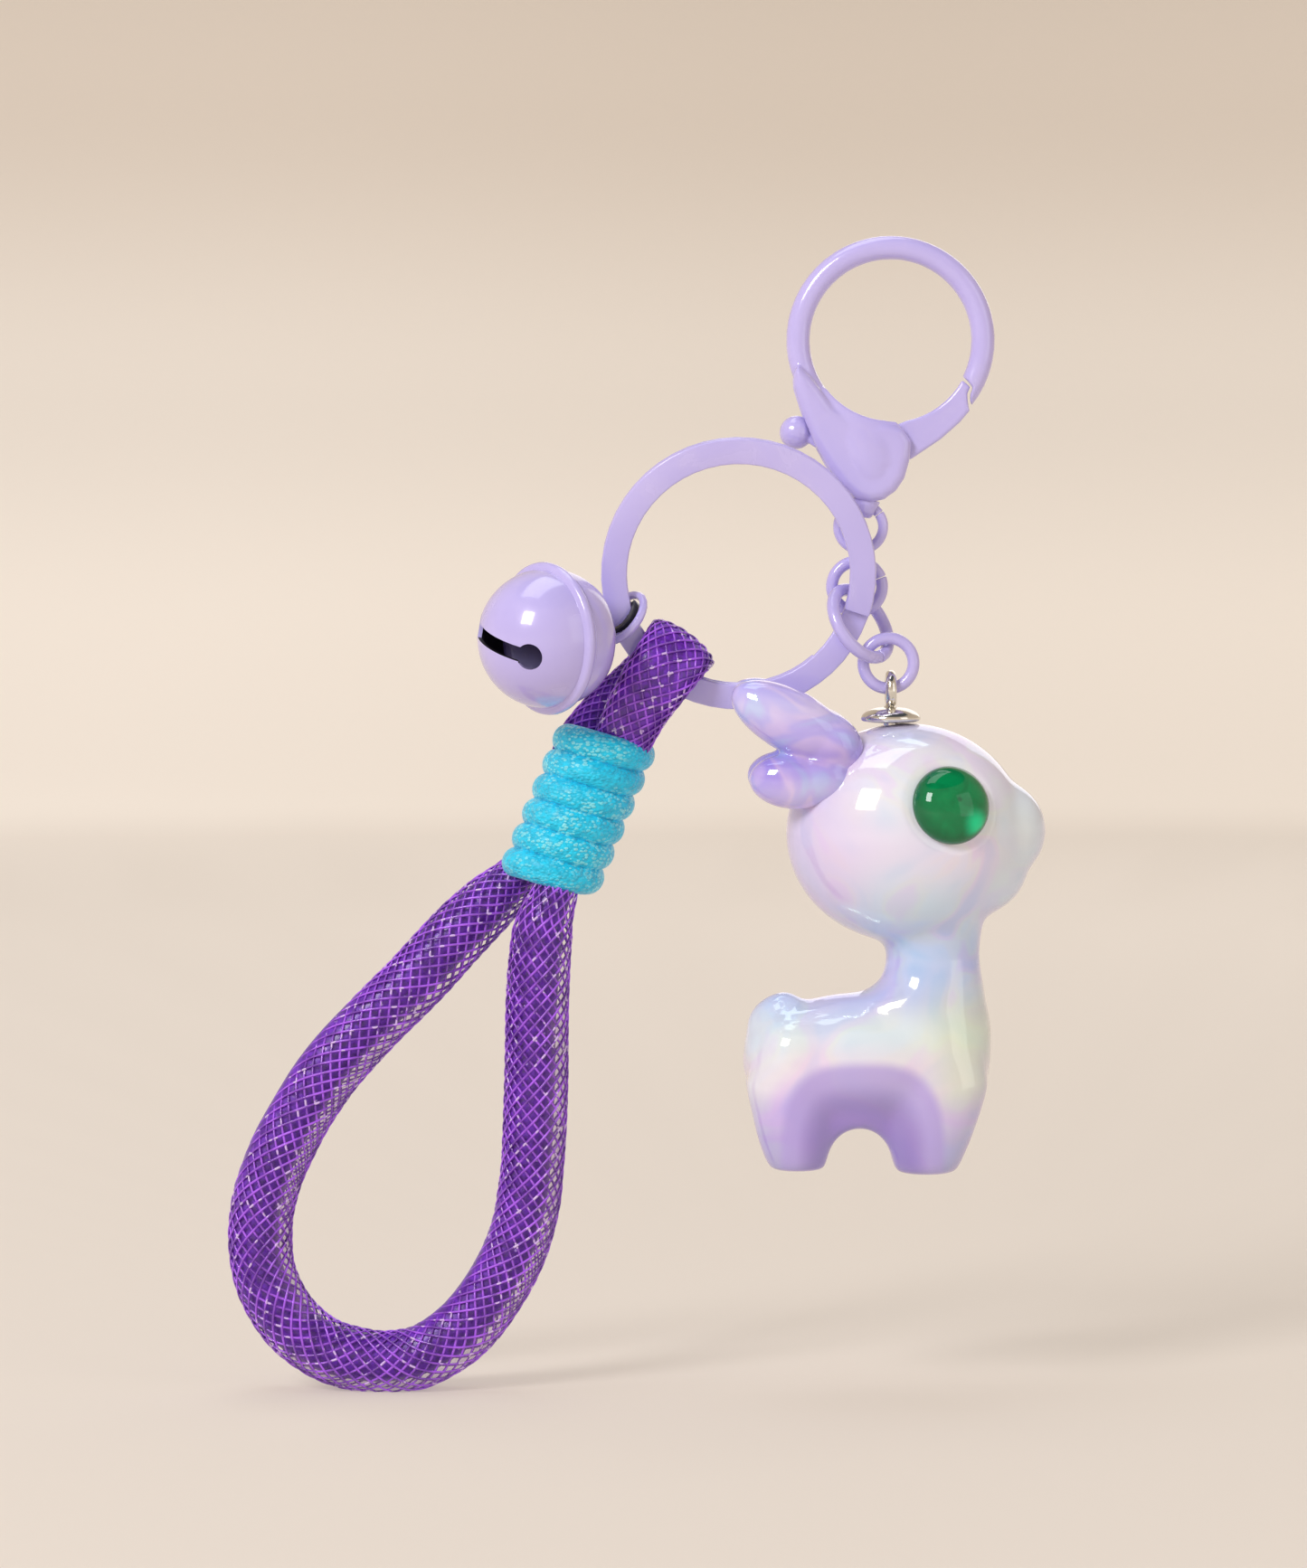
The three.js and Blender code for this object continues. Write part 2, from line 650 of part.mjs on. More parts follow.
function fawnTrunk() {
  const torso = tower(
    [
      [-83.6, -4.5, 5.5, 3.2],
      [-85.2, -4.2, 12.6, 5.6],
      [-88.0, -2.9, 14.2, 7.0],
      [-91.5, -2.7, 14.5, 7.6],
      [-95.0, -2.9, 14.2, 7.5],
      [-98.4, -3.2, 13.3, 6.9],
      [-100.2, -3.4, 11.5, 5.8],
    ],
    0,
    24,
    0.62,
  );
  const neck = tower(
    [
      [-74.0, 4.2, 7.6, 7.0],
      [-77.6, 4.7, 6.2, 5.7],
      [-80.6, 4.9, 5.5, 5.2],
      [-83.6, 5.2, 5.9, 5.5],
      [-87.0, 5.1, 6.6, 6.4],
      [-91.0, 4.6, 7.2, 7.0],
    ],
    0,
    20,
  );
  return joined(torso, neck);
}

const REAR_LEG = [
  [-94, -10.4, 5.0, 3.2],
  [-99, -11.1, 5.0, 3.4],
  [-102, -11, 4.3, 3.4],
  [-104.3, -11.05, 3.4, 3.1],
  [-105.5, -11.1, 2.7, 2.6],
];
const FRONT_LEG = [
  [-94, 5.0, 5.2, 3.2],
  [-99, 4.6, 5.4, 3.4],
  [-102, 4.1, 4.7, 3.4],
  [-104.4, 3.95, 3.6, 3.1],
  [-105.9, 4, 2.8, 2.6],
];

function fawnLegs() {
  const sides = [-3.7, 3.7];
  return joined(...sides.flatMap((y) => [tower(REAR_LEG, y, 14), tower(FRONT_LEG, y, 14)]));
}

function tail() {
  const bump = new THREE.SphereGeometry(1, 16, 10).scale(4.3, 3.3, 2.9).rotateY(rad(-36));
  return solid(bump.translate(-13.5, 0, -87.7));
}

function charmBody() {
  const sockets = [-1, 1].map((side) => eyeDome(side, EYE.radius + GAP, EYE.dome + GAP, -0.5));
  const dishes = [-1, 1].map((side) => eyeDome(side, EYE.radius + 1, 1.1, 0.35));
  const bore = bar(at(SCREW.x, 0, SCREW.tip - GAP), at(SCREW.x, 0, -50), SCREW.shank + CLEAR);
  return joined(fawnHead(), fawnTrunk(), fawnLegs(), tail()).subtract(joined(...sockets, ...dishes, bore));
}

// Each ear is a long upper lobe and a short lower one, moulded together and glued to the head.
function ear(side) {
  const upper = new THREE.SphereGeometry(1, 16, 10).scale(7.7, 2.7, 3.2).rotateY(rad(27));
  const lower = new THREE.SphereGeometry(1, 16, 10).scale(5.1, 2.5, 3.3).rotateY(rad(4));
  const lobes = joined(
    solid(upper.translate(-11.4, side * 5.6, -53.2)),
    solid(lower.translate(-11.3, side * 6.0, -59.9)),
  );
  const { x, z, a, b, c } = HEAD;
  return lobes.subtract(ball(x, 0, z, a + GAP, b + GAP, c + GAP, 26, 18));
}

add(charm, "screw_eye", screwEye(), finish.silver());
add(charm, "screw_cap", screwCap(), finish.silver());
add(charm, "charm_body", charmBody(), finish.pearl());
for (const [name, side] of [["right", -1], ["left", 1]]) {
  add(charm, "ear_" + name, ear(side), finish.pearlLilac());
  add(charm, "eye_" + name, eyeDome(side, EYE.radius, EYE.dome, -0.5), finish.greenGlass());
}

export default keychain;
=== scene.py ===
"""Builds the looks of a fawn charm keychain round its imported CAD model, as an add-on run as a script."""

import math

import bmesh
import bpy
from bpy.props import FloatProperty, FloatVectorProperty, IntProperty, PointerProperty
from mathutils import Matrix, Vector, noise


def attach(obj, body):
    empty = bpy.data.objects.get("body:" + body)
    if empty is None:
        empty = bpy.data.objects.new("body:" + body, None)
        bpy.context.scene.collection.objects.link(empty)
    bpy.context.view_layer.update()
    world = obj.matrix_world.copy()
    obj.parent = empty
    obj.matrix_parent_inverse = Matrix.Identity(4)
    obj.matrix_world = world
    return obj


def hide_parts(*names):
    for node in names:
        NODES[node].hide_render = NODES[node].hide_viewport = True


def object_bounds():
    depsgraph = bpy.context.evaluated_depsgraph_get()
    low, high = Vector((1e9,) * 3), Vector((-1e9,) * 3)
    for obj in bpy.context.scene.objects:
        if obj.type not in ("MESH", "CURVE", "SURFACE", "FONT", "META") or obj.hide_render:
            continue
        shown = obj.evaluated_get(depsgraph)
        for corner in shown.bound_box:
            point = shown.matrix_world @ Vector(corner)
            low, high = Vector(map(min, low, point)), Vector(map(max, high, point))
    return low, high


bl_info = {
    "name": "Fawn Charm Keychain",
    "version": (1, 0, 0),
    "blender": (4, 5, 0),
    "location": "View3D > Sidebar > Keychain",
    "description": "Makes the pieces and finishes of a fawn charm keychain round its CAD frame",
    "category": "Object",
}

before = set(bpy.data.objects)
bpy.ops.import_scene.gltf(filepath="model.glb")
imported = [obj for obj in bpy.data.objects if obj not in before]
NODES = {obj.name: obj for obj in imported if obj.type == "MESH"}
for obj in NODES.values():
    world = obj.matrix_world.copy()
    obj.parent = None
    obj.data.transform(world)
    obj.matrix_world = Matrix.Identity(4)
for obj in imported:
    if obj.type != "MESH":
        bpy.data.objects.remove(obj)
CAD_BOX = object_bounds()
MM = 0.001

# The rope loop's middle, from the back strand under the binding round to the front strand (metres).
LOOP_ROUTE = [
    (-0.0436, 0.0021, -0.0719),
    (-0.0465, 0.0019, -0.0746),
    (-0.0502, 0.0011, -0.0782),
    (-0.0550, 0.0002, -0.0834),
    (-0.0604, -0.0006, -0.0888),
    (-0.0655, -0.0011, -0.0946),
    (-0.0699, -0.00135, -0.1018),
    (-0.0724, -0.00135, -0.1080),
    (-0.0731, -0.00135, -0.1133),
    (-0.0724, -0.00135, -0.1183),
    (-0.0698, -0.00135, -0.1230),
    (-0.0659, -0.00135, -0.1262),
    (-0.0617, -0.00135, -0.1276),
    (-0.0576, -0.00135, -0.1279),
    (-0.0536, -0.00135, -0.1269),
    (-0.0490, -0.0014, -0.1236),
    (-0.0450, -0.0015, -0.1180),
    (-0.0426, -0.0017, -0.1122),
    (-0.0415, -0.0021, -0.1054),
    (-0.0410, -0.0028, -0.0955),
    (-0.0408, -0.0037, -0.0850),
    (-0.0402, -0.0044, -0.0776),
    (-0.0391, -0.0042, -0.0739),
]
# Where the rope's ends are squeezed into the binding: middle, and the share of its full thickness.
LOOP_TUCKS = (((-0.0398, 0.0010, -0.0683), 0.62), ((-0.0376, -0.0030, -0.0692), 0.62))

# The rope folded over the split ring: middle, half-width and half-thickness (metres).
FOLD_STATIONS = [
    (-0.0328, -0.0031, -0.0582, 0.0028, 0.0018),
    (-0.0315, -0.0035, -0.0564, 0.0032, 0.0020),
    (-0.0293, -0.0046, -0.0520, 0.0035, 0.0020),
    (-0.0272, -0.00505, -0.0486, 0.0039, 0.00195),
    (-0.0260, -0.0049, -0.0469, 0.0040, 0.00185),
    (-0.0246, -0.0036, -0.0450, 0.0042, 0.0017),
    (-0.0240, -0.00135, -0.0443, 0.0043, 0.0016),
    (-0.0246, 0.0006, -0.0450, 0.0042, 0.0017),
    (-0.0262, 0.0019, -0.0471, 0.0040, 0.00185),
    (-0.0283, 0.0022, -0.0492, 0.0038, 0.00195),
    (-0.0320, 0.0020, -0.0522, 0.0034, 0.0020),
    (-0.0353, 0.0013, -0.0556, 0.0031, 0.0020),
    (-0.0365, 0.0009, -0.0578, 0.0028, 0.0018),
]
BAND_ALONG = Vector((0.809, 0, -0.588))

# How far the net's outer and inner strands stand off its sleeve, and the length of a strand's whole turn.
OVER_LIFT, UNDER_LIFT = 0.00009, -0.00003
LOOP_LEAD, FOLD_LEAD = 0.0262, 0.024
# The net's inset from the rope's radius; the core sags in it below SAG_FROM, fully after SAG_OVER.
NET_INSET = 0.0002
SAG_FROM, SAG_OVER, FULL_SLACK = -0.074, 0.016, 0.0008

BELL_CENTRE = Vector((-39.5, -9.8, -43.6)) * MM
BELL_AXIS = Vector((-0.776, -0.628, -0.05)).normalized()
BELL_SLOT = Vector((0.59, -0.73, -0.342))
WRAP_CENTRE = Vector((-36.1, -1.35, -63.45)) * MM
WRAP_TILT = math.radians(22.5)

# The bell's shells (metres): radius, thickness of the sheet, and how near an edge is to the rim's height.
BELL_RADIUS, BELL_SHEET, RIM_REACH = 0.008, 0.00045, 1e-5
SLOT_HALF_ANGLE = math.radians(38)
EYE_DISH, EYE_DISH_RADIUS = 0.42, 5.9  # the dish pressed round an eye, in millimetres

# The camera's aim and view height; the paper's flat part, and the rings (radius, lift) that it curves up by.
CAMERA_AIM, VIEW_HEIGHT, CAMERA_TILT = Vector((-0.0274, -0.001, -0.0606)), 0.1817, math.radians(2.5)
FLOOR_RADIUS, FLOOR_GAP = 0.9, 0.0002
PAPER_RINGS = ((1.15, 0.02), (1.35, 0.09), (1.48, 0.22), (1.55, 0.45), (1.6, 2.2))
LIGHT_AIM = Vector((-0.025, 0, -0.065))
SOFT_LIGHTS = (  # name, place, width, height, power, tint
    ("key_softbox", (-0.62, -0.80, 0.60), 0.36, 0.42, 7.4, (0.98, 0.98, 1.02)),
    ("fill_softbox", (0.75, -0.55, 0.12), 0.5, 0.9, 1.1, (0.94, 0.97, 1.05)),
    ("top_strip", (-0.15, 0.1, 0.75), 0.7, 0.4, 1.9, (0.96, 0.98, 1.05)),
    ("back_fill", (0.2, 0.8, 0.3), 0.6, 0.5, 0.8, (0.96, 0.98, 1.04)),
)


# ---- sizes and colours that a user would change ---------------------------------------------------
def colour(label, words, value):
    return FloatVectorProperty(
        name=label, description=words, subtype="COLOR", size=3, min=0, max=1, default=value
    )


def length(label, words, value):
    return FloatProperty(
        name=label, description=words, subtype="DISTANCE", unit="LENGTH", min=0.00001, default=value
    )


class StrapSettings(bpy.types.PropertyGroup):
    """Sizes and colours of the rope and its binding."""

    rope_radius: length("Rope radius", "Radius of the rope over its net sleeve", 0.0037)
    core_radius: length("Core radius", "Radius of the rope's core inside the net", 0.00285)
    strands: IntProperty(
        name="Net strands", description="Strands each way round the net sleeve", default=16, min=6
    )
    strand_radius: length("Strand radius", "Half the thickness of a strand of the net", 0.000115)
    core_colour: colour("Core colour", "Colour of the rope's core", (0.115, 0.008, 0.39))
    net_colour: colour("Net colour", "Colour of the net's strands", (0.28, 0.075, 0.68))
    wrap_colour: colour("Binding colour", "Colour of the waxed binding cord", (0.0, 0.61, 0.93))
    wrap_turns: IntProperty(name="Binding turns", description="Turns of the waxed cord", default=6, min=2)


class MetalSettings(bpy.types.PropertyGroup):
    """Colours of the enamelled and the bare metal."""

    enamel_colour: colour("Enamel colour", "Colour of the enamelled fittings", (0.54, 0.485, 0.93))
    nickel_colour: colour("Nickel colour", "Colour of the plated screw eye", (0.78, 0.76, 0.70))


class CharmSettings(bpy.types.PropertyGroup):
    """Finish of the fawn."""

    voxel: length("Skin voxel", "Size of the voxels that blend the fawn's skin", 0.0003)
    eye_colour: colour("Eye colour", "Colour of the glass eyes", (0.0, 0.21, 0.065))


class StageSettings(bpy.types.PropertyGroup):
    """Floor, light and camera."""

    floor_colour: colour("Floor colour", "Colour of the floor and the backdrop", (0.391, 0.352, 0.309))
    camera_lens: FloatProperty(name="Lens", description="Focal length in millimetres", default=120, min=20)


# ---- mesh tools ---------------------------------------------------------------------------------------
def deselect():
    active = bpy.context.view_layer.objects.active
    if active and active.mode != "OBJECT":
        bpy.ops.object.mode_set(mode="OBJECT")
    bpy.ops.object.select_all(action="DESELECT")


def pick(obj):
    deselect()
    obj.select_set(True)
    bpy.context.view_layer.objects.active = obj
    return obj


def added(name):
    """The object that an operator has just added, with its place moved into its mesh."""
    obj = bpy.context.view_layer.objects.active
    obj.name = name
    obj.data.name = name
    return settle(obj)


def settle(obj):
    pick(obj)
    bpy.ops.object.transform_apply(location=True, rotation=True, scale=True)
    return obj


def place(obj, matrix):
    obj.data.transform(matrix)
    obj.data.update()
    return obj


def modify(obj, kind, **settings):
    """Adds a modifier and applies it."""
    pick(obj)
    modifier = obj.modifiers.new(kind.title(), kind)
    for key, value in settings.items():
        setattr(modifier, key, value)
    bpy.ops.object.modifier_apply(modifier=modifier.name)
    return obj


def clean(obj, distance=1e-7):
    pick(obj)
    bpy.ops.object.mode_set(mode="EDIT")
    bpy.ops.mesh.select_all(action="SELECT")
    bpy.ops.mesh.remove_doubles(threshold=distance)
    bpy.ops.mesh.normals_make_consistent(inside=False)
    bpy.ops.object.mode_set(mode="OBJECT")
    return obj


def worked_copy(node, name):
    """A merged copy of a CAD node's mesh, to be refined into the piece that stands for it."""
    obj = bpy.data.objects.new(name, NODES[node].data.copy())
    bpy.context.scene.collection.objects.link(obj)
    return clean(obj, 2e-6)


def remeshed(obj, voxel):
    return modify(obj, "REMESH", mode="VOXEL", voxel_size=voxel, use_smooth_shade=True)


def blended(obj, voxel, passes, factor=0.5):
    """Remeshes a piece finely and softens its creases."""
    return modify(remeshed(obj, voxel), "SMOOTH", factor=factor, iterations=passes)


def carve(obj, cutter):
    modify(obj, "BOOLEAN", object=cutter, operation="DIFFERENCE", solver="EXACT")
    bpy.data.objects.remove(cutter)
    return obj


def select_parts(obj, kind, test):
    """Leaves the object in edit mode, with just the faces or edges that pass the test selected."""
    pick(obj)
    bpy.ops.object.mode_set(mode="EDIT")
    bpy.ops.mesh.select_mode(type=kind)
    bpy.ops.mesh.select_all(action="DESELECT")
    work = bmesh.from_edit_mesh(obj.data)
    for part in work.faces if kind == "FACE" else work.edges:
        part.select = test(part)
    work.select_flush_mode()
    bmesh.update_edit_mesh(obj.data)


def extrude_rim(obj, radius, height, test):
    """Extrudes the open edges that pass the test to a ring of the radius round Z, at the height."""
    select_parts(obj, "EDGE", lambda edge: edge.is_boundary and test(edge))
    bpy.ops.mesh.extrude_edges_move()
    work = bmesh.from_edit_mesh(obj.data)
    for vert in work.verts:
        if vert.select:
            flat = Vector((vert.co.x, vert.co.y, 0)).normalized() * radius
            vert.co = (flat.x, flat.y, height)
    bmesh.update_edit_mesh(obj.data)
    bpy.ops.object.mode_set(mode="OBJECT")


def fill_open_edges(obj):
    select_parts(obj, "EDGE", lambda edge: edge.is_boundary)
    bpy.ops.mesh.fill_holes(sides=0)
    bpy.ops.object.mode_set(mode="OBJECT")
    return clean(obj)


def ball(centre, radii, turn=0):
    """An ellipsoid to be melted into a skin: centre and radii in millimetres, turned about Y in degrees."""
    bpy.ops.mesh.primitive_uv_sphere_add(
        segments=48, ring_count=32, radius=MM, location=Vector(centre) * MM,
        rotation=(0, math.radians(turn), 0), scale=radii,
    )
    return added("swell")


def tower(stations, middle):
    """A closed column through ellipses, given as (z, x, half-width, half-depth) in millimetres."""
    rings = [
        [Vector((x + wide * math.cos(a), middle + deep * math.sin(a), z)) * MM
         for a in (2 * math.pi * k / 40 for k in range(40))]
        for z, x, wide, deep in stations
    ]
    return new_mesh("column", [(*tube_skin(rings), 0)])


def plate(outline, layers):
    """A closed slab through an outline of (x, z) points, at each (y, inset) layer, in millimetres."""
    spots = [Vector((x, 0, z)) for x, z in outline]
    turning = sum(
        (b - a).cross(c - b).y for a, b, c in zip(spots, spots[1:] + spots[:1], spots[2:] + spots[:2])
    )
    rings = []
    for y, inset in layers:
        ring = []
        for i, spot in enumerate(spots):
            run = (spots[(i + 1) % len(spots)] - spots[i - 1]).normalized()
            inward = Vector((run.z, 0, -run.x)) * math.copysign(1, turning)
            ring.append((spot + inward * inset + Vector((0, y, 0))) * MM)
        rings.append(ring)
    return new_mesh("slab", [(*tube_skin(rings), 0)])


def eye_seat(side):
    """Where an eye sits on the head, and the way that it looks, in millimetres."""
    head, half = Vector((1.8, -2.2, -66.2)), Vector((14.0, 11.8, 12.8))
    across, up = 6.65 - head.x, -62.35 - head.z
    depth = side * half.y * math.sqrt(1 - (across / half.x) ** 2 - (up / half.z) ** 2)
    out = Vector((across / half.x**2, depth / half.y**2, up / half.z**2)).normalized()
    return Vector((head.x + across, head.y + depth, head.z + up)), out


def joined(name, *objs):
    deselect()
    for obj in objs:
        obj.select_set(True)
    bpy.context.view_layer.objects.active = objs[0]
    bpy.ops.object.join()
    objs[0].name = name
    return objs[0]


def hand_over(obj, body, nodes, materials, angle=None):
    """Shades a finished piece, gives it its materials, parents it to its body's empty and hides the CAD nodes
    that it stands for.
    """
    pick(obj)
    if angle is None:
        bpy.ops.object.shade_smooth()
    else:
        bpy.ops.object.shade_smooth_by_angle(angle=math.radians(angle))
    kept = [face.material_index for face in obj.data.polygons]
    obj.data.materials.clear()
    for made in materials:
        obj.data.materials.append(made)
    for face, index in zip(obj.data.polygons, kept):
        face.material_index = min(index, len(materials) - 1)
    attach(obj, body)
    if nodes:
        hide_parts(*nodes)
    return obj


def dress(node, material):
    """Gives a CAD node that stays its finish."""
    mesh = NODES[node].data
    mesh.materials.clear()
    mesh.materials.append(material)


def along_curve(points, count):
    """Evenly spaced points and their parameters on a smooth curve through the points."""
    knots = [Vector(p[:3]) for p in points]
    extra = [tuple(p[3:]) for p in points]
    fine = []
    last = len(knots) - 1
    for i in range(last):
        a, b, c, d = (knots[min(max(k, 0), last)] for k in (i - 1, i, i + 1, i + 2))
        for step in range(24):
            t = step / 24
            p = 0.5 * (
                2 * b + (c - a) * t + (2 * a - 5 * b + 4 * c - d) * t**2 + (3 * b - a - 3 * c + d) * t**3
            )
            fine.append((p, [x + (y - x) * t for x, y in zip(extra[i], extra[i + 1])]))
    fine.append((knots[-1], list(extra[-1])))
    run = [0.0]
    for (p, _), (q, _) in zip(fine, fine[1:]):
        run.append(run[-1] + (q - p).length)
    out = []
    k = 0
    for i in range(count):
        goal = run[-1] * i / (count - 1)
        while k < len(run) - 2 and run[k + 1] < goal:
            k += 1
        share = (goal - run[k]) / max(run[k + 1] - run[k], 1e-12)
        (p, x), (q, y) = fine[k], fine[k + 1]
        out.append((p.lerp(q, share), [u + (v - u) * share for u, v in zip(x, y)]))
    return out, run[-1]


def tube_skin(rings):
    """Vertices and faces through rings of points, closed at both ends."""
    count = len(rings[0])
    verts = [p for ring in rings for p in ring]
    faces = []
    for r in range(len(rings) - 1):
        for i in range(count):
            a, b = r * count + i, r * count + (i + 1) % count
            faces.append((a, b, b + count, a + count))
    faces.append(tuple(range(count))[::-1])
    faces.append(tuple(range((len(rings) - 1) * count, len(rings) * count)))
    return verts, faces


def new_mesh(name, parts):
    """One object from several (verts, faces, material index) parts."""
    verts, faces, indices = [], [], []
    for part_verts, part_faces, index in parts:
        start = len(verts)
        verts.extend(part_verts)
        faces.extend(tuple(v + start for v in face) for face in part_faces)
        indices.extend([index] * len(part_faces))
    mesh = bpy.data.meshes.new(name)
    mesh.from_pydata([tuple(v) for v in verts], [], faces)
    for face, index in zip(mesh.polygons, indices):
        face.material_index = index
    obj = bpy.data.objects.new(name, mesh)
    bpy.context.scene.collection.objects.link(obj)
    pick(obj)
    bpy.ops.object.mode_set(mode="EDIT")
    bpy.ops.mesh.select_all(action="SELECT")
    bpy.ops.mesh.normals_make_consistent(inside=False)
    bpy.ops.object.mode_set(mode="OBJECT")
    return obj


# ---- shader tools ---------------------------------------------------------------------------------------
class Nodes:
    """A node tree with short words for adding and joining nodes."""

    def __init__(self, tree):
        self.tree = tree

    def add(self, kind, inputs=None, **settings):
        node = self.tree.nodes.new(kind)
        for key, value in settings.items():
            setattr(node, key, value)
        for key, value in (inputs or {}).items():
            self.feed(node.inputs[key], value)
        return node

    def feed(self, socket, value):
        """Joins a socket to another one, or sets it to a constant."""
        if isinstance(value, bpy.types.NodeSocket):
            self.tree.links.new(value, socket)
        else:
            socket.default_value = value

    def math(self, operation, a, b=0.0):
        return self.add("ShaderNodeMath", {0: a, 1: b}, operation=operation).outputs[0]

    def times(self, a, b):
        return self.math("MULTIPLY", a, b)

    def noise(self, point, scale, detail, **more):
        inputs = {"Vector": point, "Scale": scale, "Detail": detail}
        inputs.update({key.title(): value for key, value in more.items()})
        return self.add("ShaderNodeTexNoise", inputs).outputs["Fac"]

    def mix(self, factor, a, b, blend="MIX"):
        node = self.add("ShaderNodeMix", data_type="RGBA", blend_type=blend)
        for key, value in (("Factor", factor), ("A", a), ("B", b)):
            socket = next(s for s in node.inputs if s.name == key and s.enabled)
            plain = key == "Factor" or isinstance(value, bpy.types.NodeSocket)
            self.feed(socket, value if plain else (*value, 1))
        return next(s for s in node.outputs if s.enabled)

    def ramp(self, factor, stops, interpolation="EASE"):
        node = self.add("ShaderNodeValToRGB", {"Fac": factor})
        node.color_ramp.interpolation = interpolation
        while len(node.color_ramp.elements) < len(stops):
            node.color_ramp.elements.new(0.5)
        for element, (where, shade) in zip(node.color_ramp.elements, stops):
            element.position = where
            element.color = (*shade, 1)
        return node.outputs["Color"]

    def distance(self, a, b):
        """The square root of the sum of two squares."""
        return self.math("SQRT", self.math("ADD", self.times(a, a), self.times(b, b)))

    def between(self, value, low, high):
        node = self.add("ShaderNodeMapRange", {"Value": value, "From Min": low, "From Max": high})
        node.interpolation_type = "SMOOTHSTEP"
        return node.outputs["Result"]

    def group(self, made, inputs):
        return self.add("ShaderNodeGroup", inputs, node_tree=made)


def new_material(name, **sockets):
    made = bpy.data.materials.new(name)
    made.use_nodes = True
    nodes = Nodes(made.node_tree)
    shader = made.node_tree.nodes["Principled BSDF"]
    for key, value in sockets.items():
        socket = shader.inputs[key.replace("_", " ")]
        if isinstance(value, tuple) and len(value) == 3 and socket.type == "RGBA":
            value = (*value, 1)
        socket.default_value = value
    return made, nodes, shader


def connect(nodes, shader, **sockets):
    for key, value in sockets.items():
        nodes.tree.links.new(value, shader.inputs[key.replace("_", " ")])


def new_group(name, inputs, outputs):
    tree = bpy.data.node_groups.new(name, "ShaderNodeTree")
    for label, kind, value in inputs:
        socket = tree.interface.new_socket(label, in_out="INPUT", socket_type=kind)
        if value is not None:
            socket.default_value = value
    for label, kind in outputs:
        tree.interface.new_socket(label, in_out="OUTPUT", socket_type=kind)
    nodes = Nodes(tree)
    return tree, nodes, nodes.add("NodeGroupInput"), nodes.add("NodeGroupOutput")


def handling_group():
    """Fine ripple of a sprayed or poured coat, with faint smears where fingers dull its gloss."""
    tree, nodes, given, out = new_group(
        "Coat Handling",
        [
            ("Vector", "NodeSocketVector", None),
            ("Ripple Scale", "NodeSocketFloat", 400.0),
            ("Smear Scale", "NodeSocketFloat", 90.0),
            ("Gloss", "NodeSocketFloat", 0.12),
            ("Smear", "NodeSocketFloat", 0.12),
        ],
        [("Height", "NodeSocketFloat"), ("Roughness", "NodeSocketFloat"), ("Mottle", "NodeSocketFloat")],
    )
    ripple = nodes.noise(given.outputs[0], given.outputs[1], 3.0)
    smear = nodes.noise(given.outputs[0], given.outputs[2], 5.0, roughness=0.6, distortion=0.8)
    mask = nodes.between(smear, 0.48, 0.72)
    rough = nodes.math("ADD", given.outputs[3], nodes.times(mask, given.outputs[4]))
    for socket, value in (("Height", ripple), ("Roughness", rough), ("Mottle", mask)):
        tree.links.new(value, out.inputs[socket])
    return tree


def painted_glints_group():
    """Small bright painted glints scattered in cells, as on a net's knots or a waxed weave."""
    tree, nodes, given, out = new_group(
        "Painted Glint Specks",
        [
            ("Vector", "NodeSocketVector", None),
            ("Scale", "NodeSocketFloat", 1000.0),
            ("Size", "NodeSocketFloat", 0.25),
            ("Share", "NodeSocketFloat", 0.5),
        ],
        [("Mask", "NodeSocketFloat"), ("Height", "NodeSocketFloat")],
    )
    cells = nodes.add("ShaderNodeTexVoronoi", {"Vector": given.outputs[0], "Scale": given.outputs[1]})
    near = nodes.math("LESS_THAN", cells.outputs["Distance"], given.outputs[2])
    chosen = nodes.add("ShaderNodeSeparateColor", {"Color": cells.outputs["Color"]})
    picked = nodes.math("LESS_THAN", chosen.outputs[0], given.outputs[3])
    tree.links.new(nodes.times(near, picked), out.inputs["Mask"])
    tree.links.new(nodes.math("SUBTRACT", 1.0, cells.outputs["Distance"]), out.inputs["Height"])
    return tree


GROUPS = {}
MATERIALS = {}


def group(name):
    if name not in GROUPS:
        GROUPS[name] = {"handling": handling_group, "painted_glints": painted_glints_group}[name]()
    return GROUPS[name]


def object_point(nodes):
    return nodes.add("ShaderNodeTexCoord").outputs["Object"]


def bumped(nodes, height, distance, strength=1.0):
    bump = nodes.add("ShaderNodeBump", {"Height": height, "Distance": distance, "Strength": strength})
    return bump.outputs["Normal"]


def enamel():
    """Lilac enamel sprayed over cast zinc: even, glossy, with a slight ripple; faces turned edge-on get a
    darker lilac, a painted shade.
    """
    base = tuple(bpy.context.scene.keychain_metal.enamel_colour)
    made, nodes, shader = new_material(
        "lilac_enamel", IOR=1.52, Coat_Weight=0.7, Coat_Roughness=0.04, Coat_IOR=1.5, Metallic=0.0
    )
    point = object_point(nodes)
    worn = nodes.group(group("handling"), {"Vector": point, "Gloss": 0.2, "Smear": 0.1, "Smear Scale": 150.0})
    drift = nodes.noise(point, 60.0, 2.0)
    pale = nodes.mix(nodes.between(drift, 0.3, 0.7), [c * 0.95 for c in base], [c**0.93 for c in base])
    # Painted shade: faces turned edge-on to the camera are tinted a darker lilac.
    edge = nodes.add("ShaderNodeLayerWeight", {"Blend": 0.28}).outputs["Facing"]
    shade = nodes.mix(nodes.times(edge, 0.35), pale, (0.50, 0.38, 0.74))
    shade = nodes.mix(nodes.times(worn.outputs["Mottle"], 0.12), shade, (0.78, 0.72, 0.92))
    connect(
        nodes, shader, Base_Color=shade, Roughness=worn.outputs["Roughness"],
        Normal=bumped(nodes, worn.outputs["Height"], 0.00002, 0.5),
    )
    return made


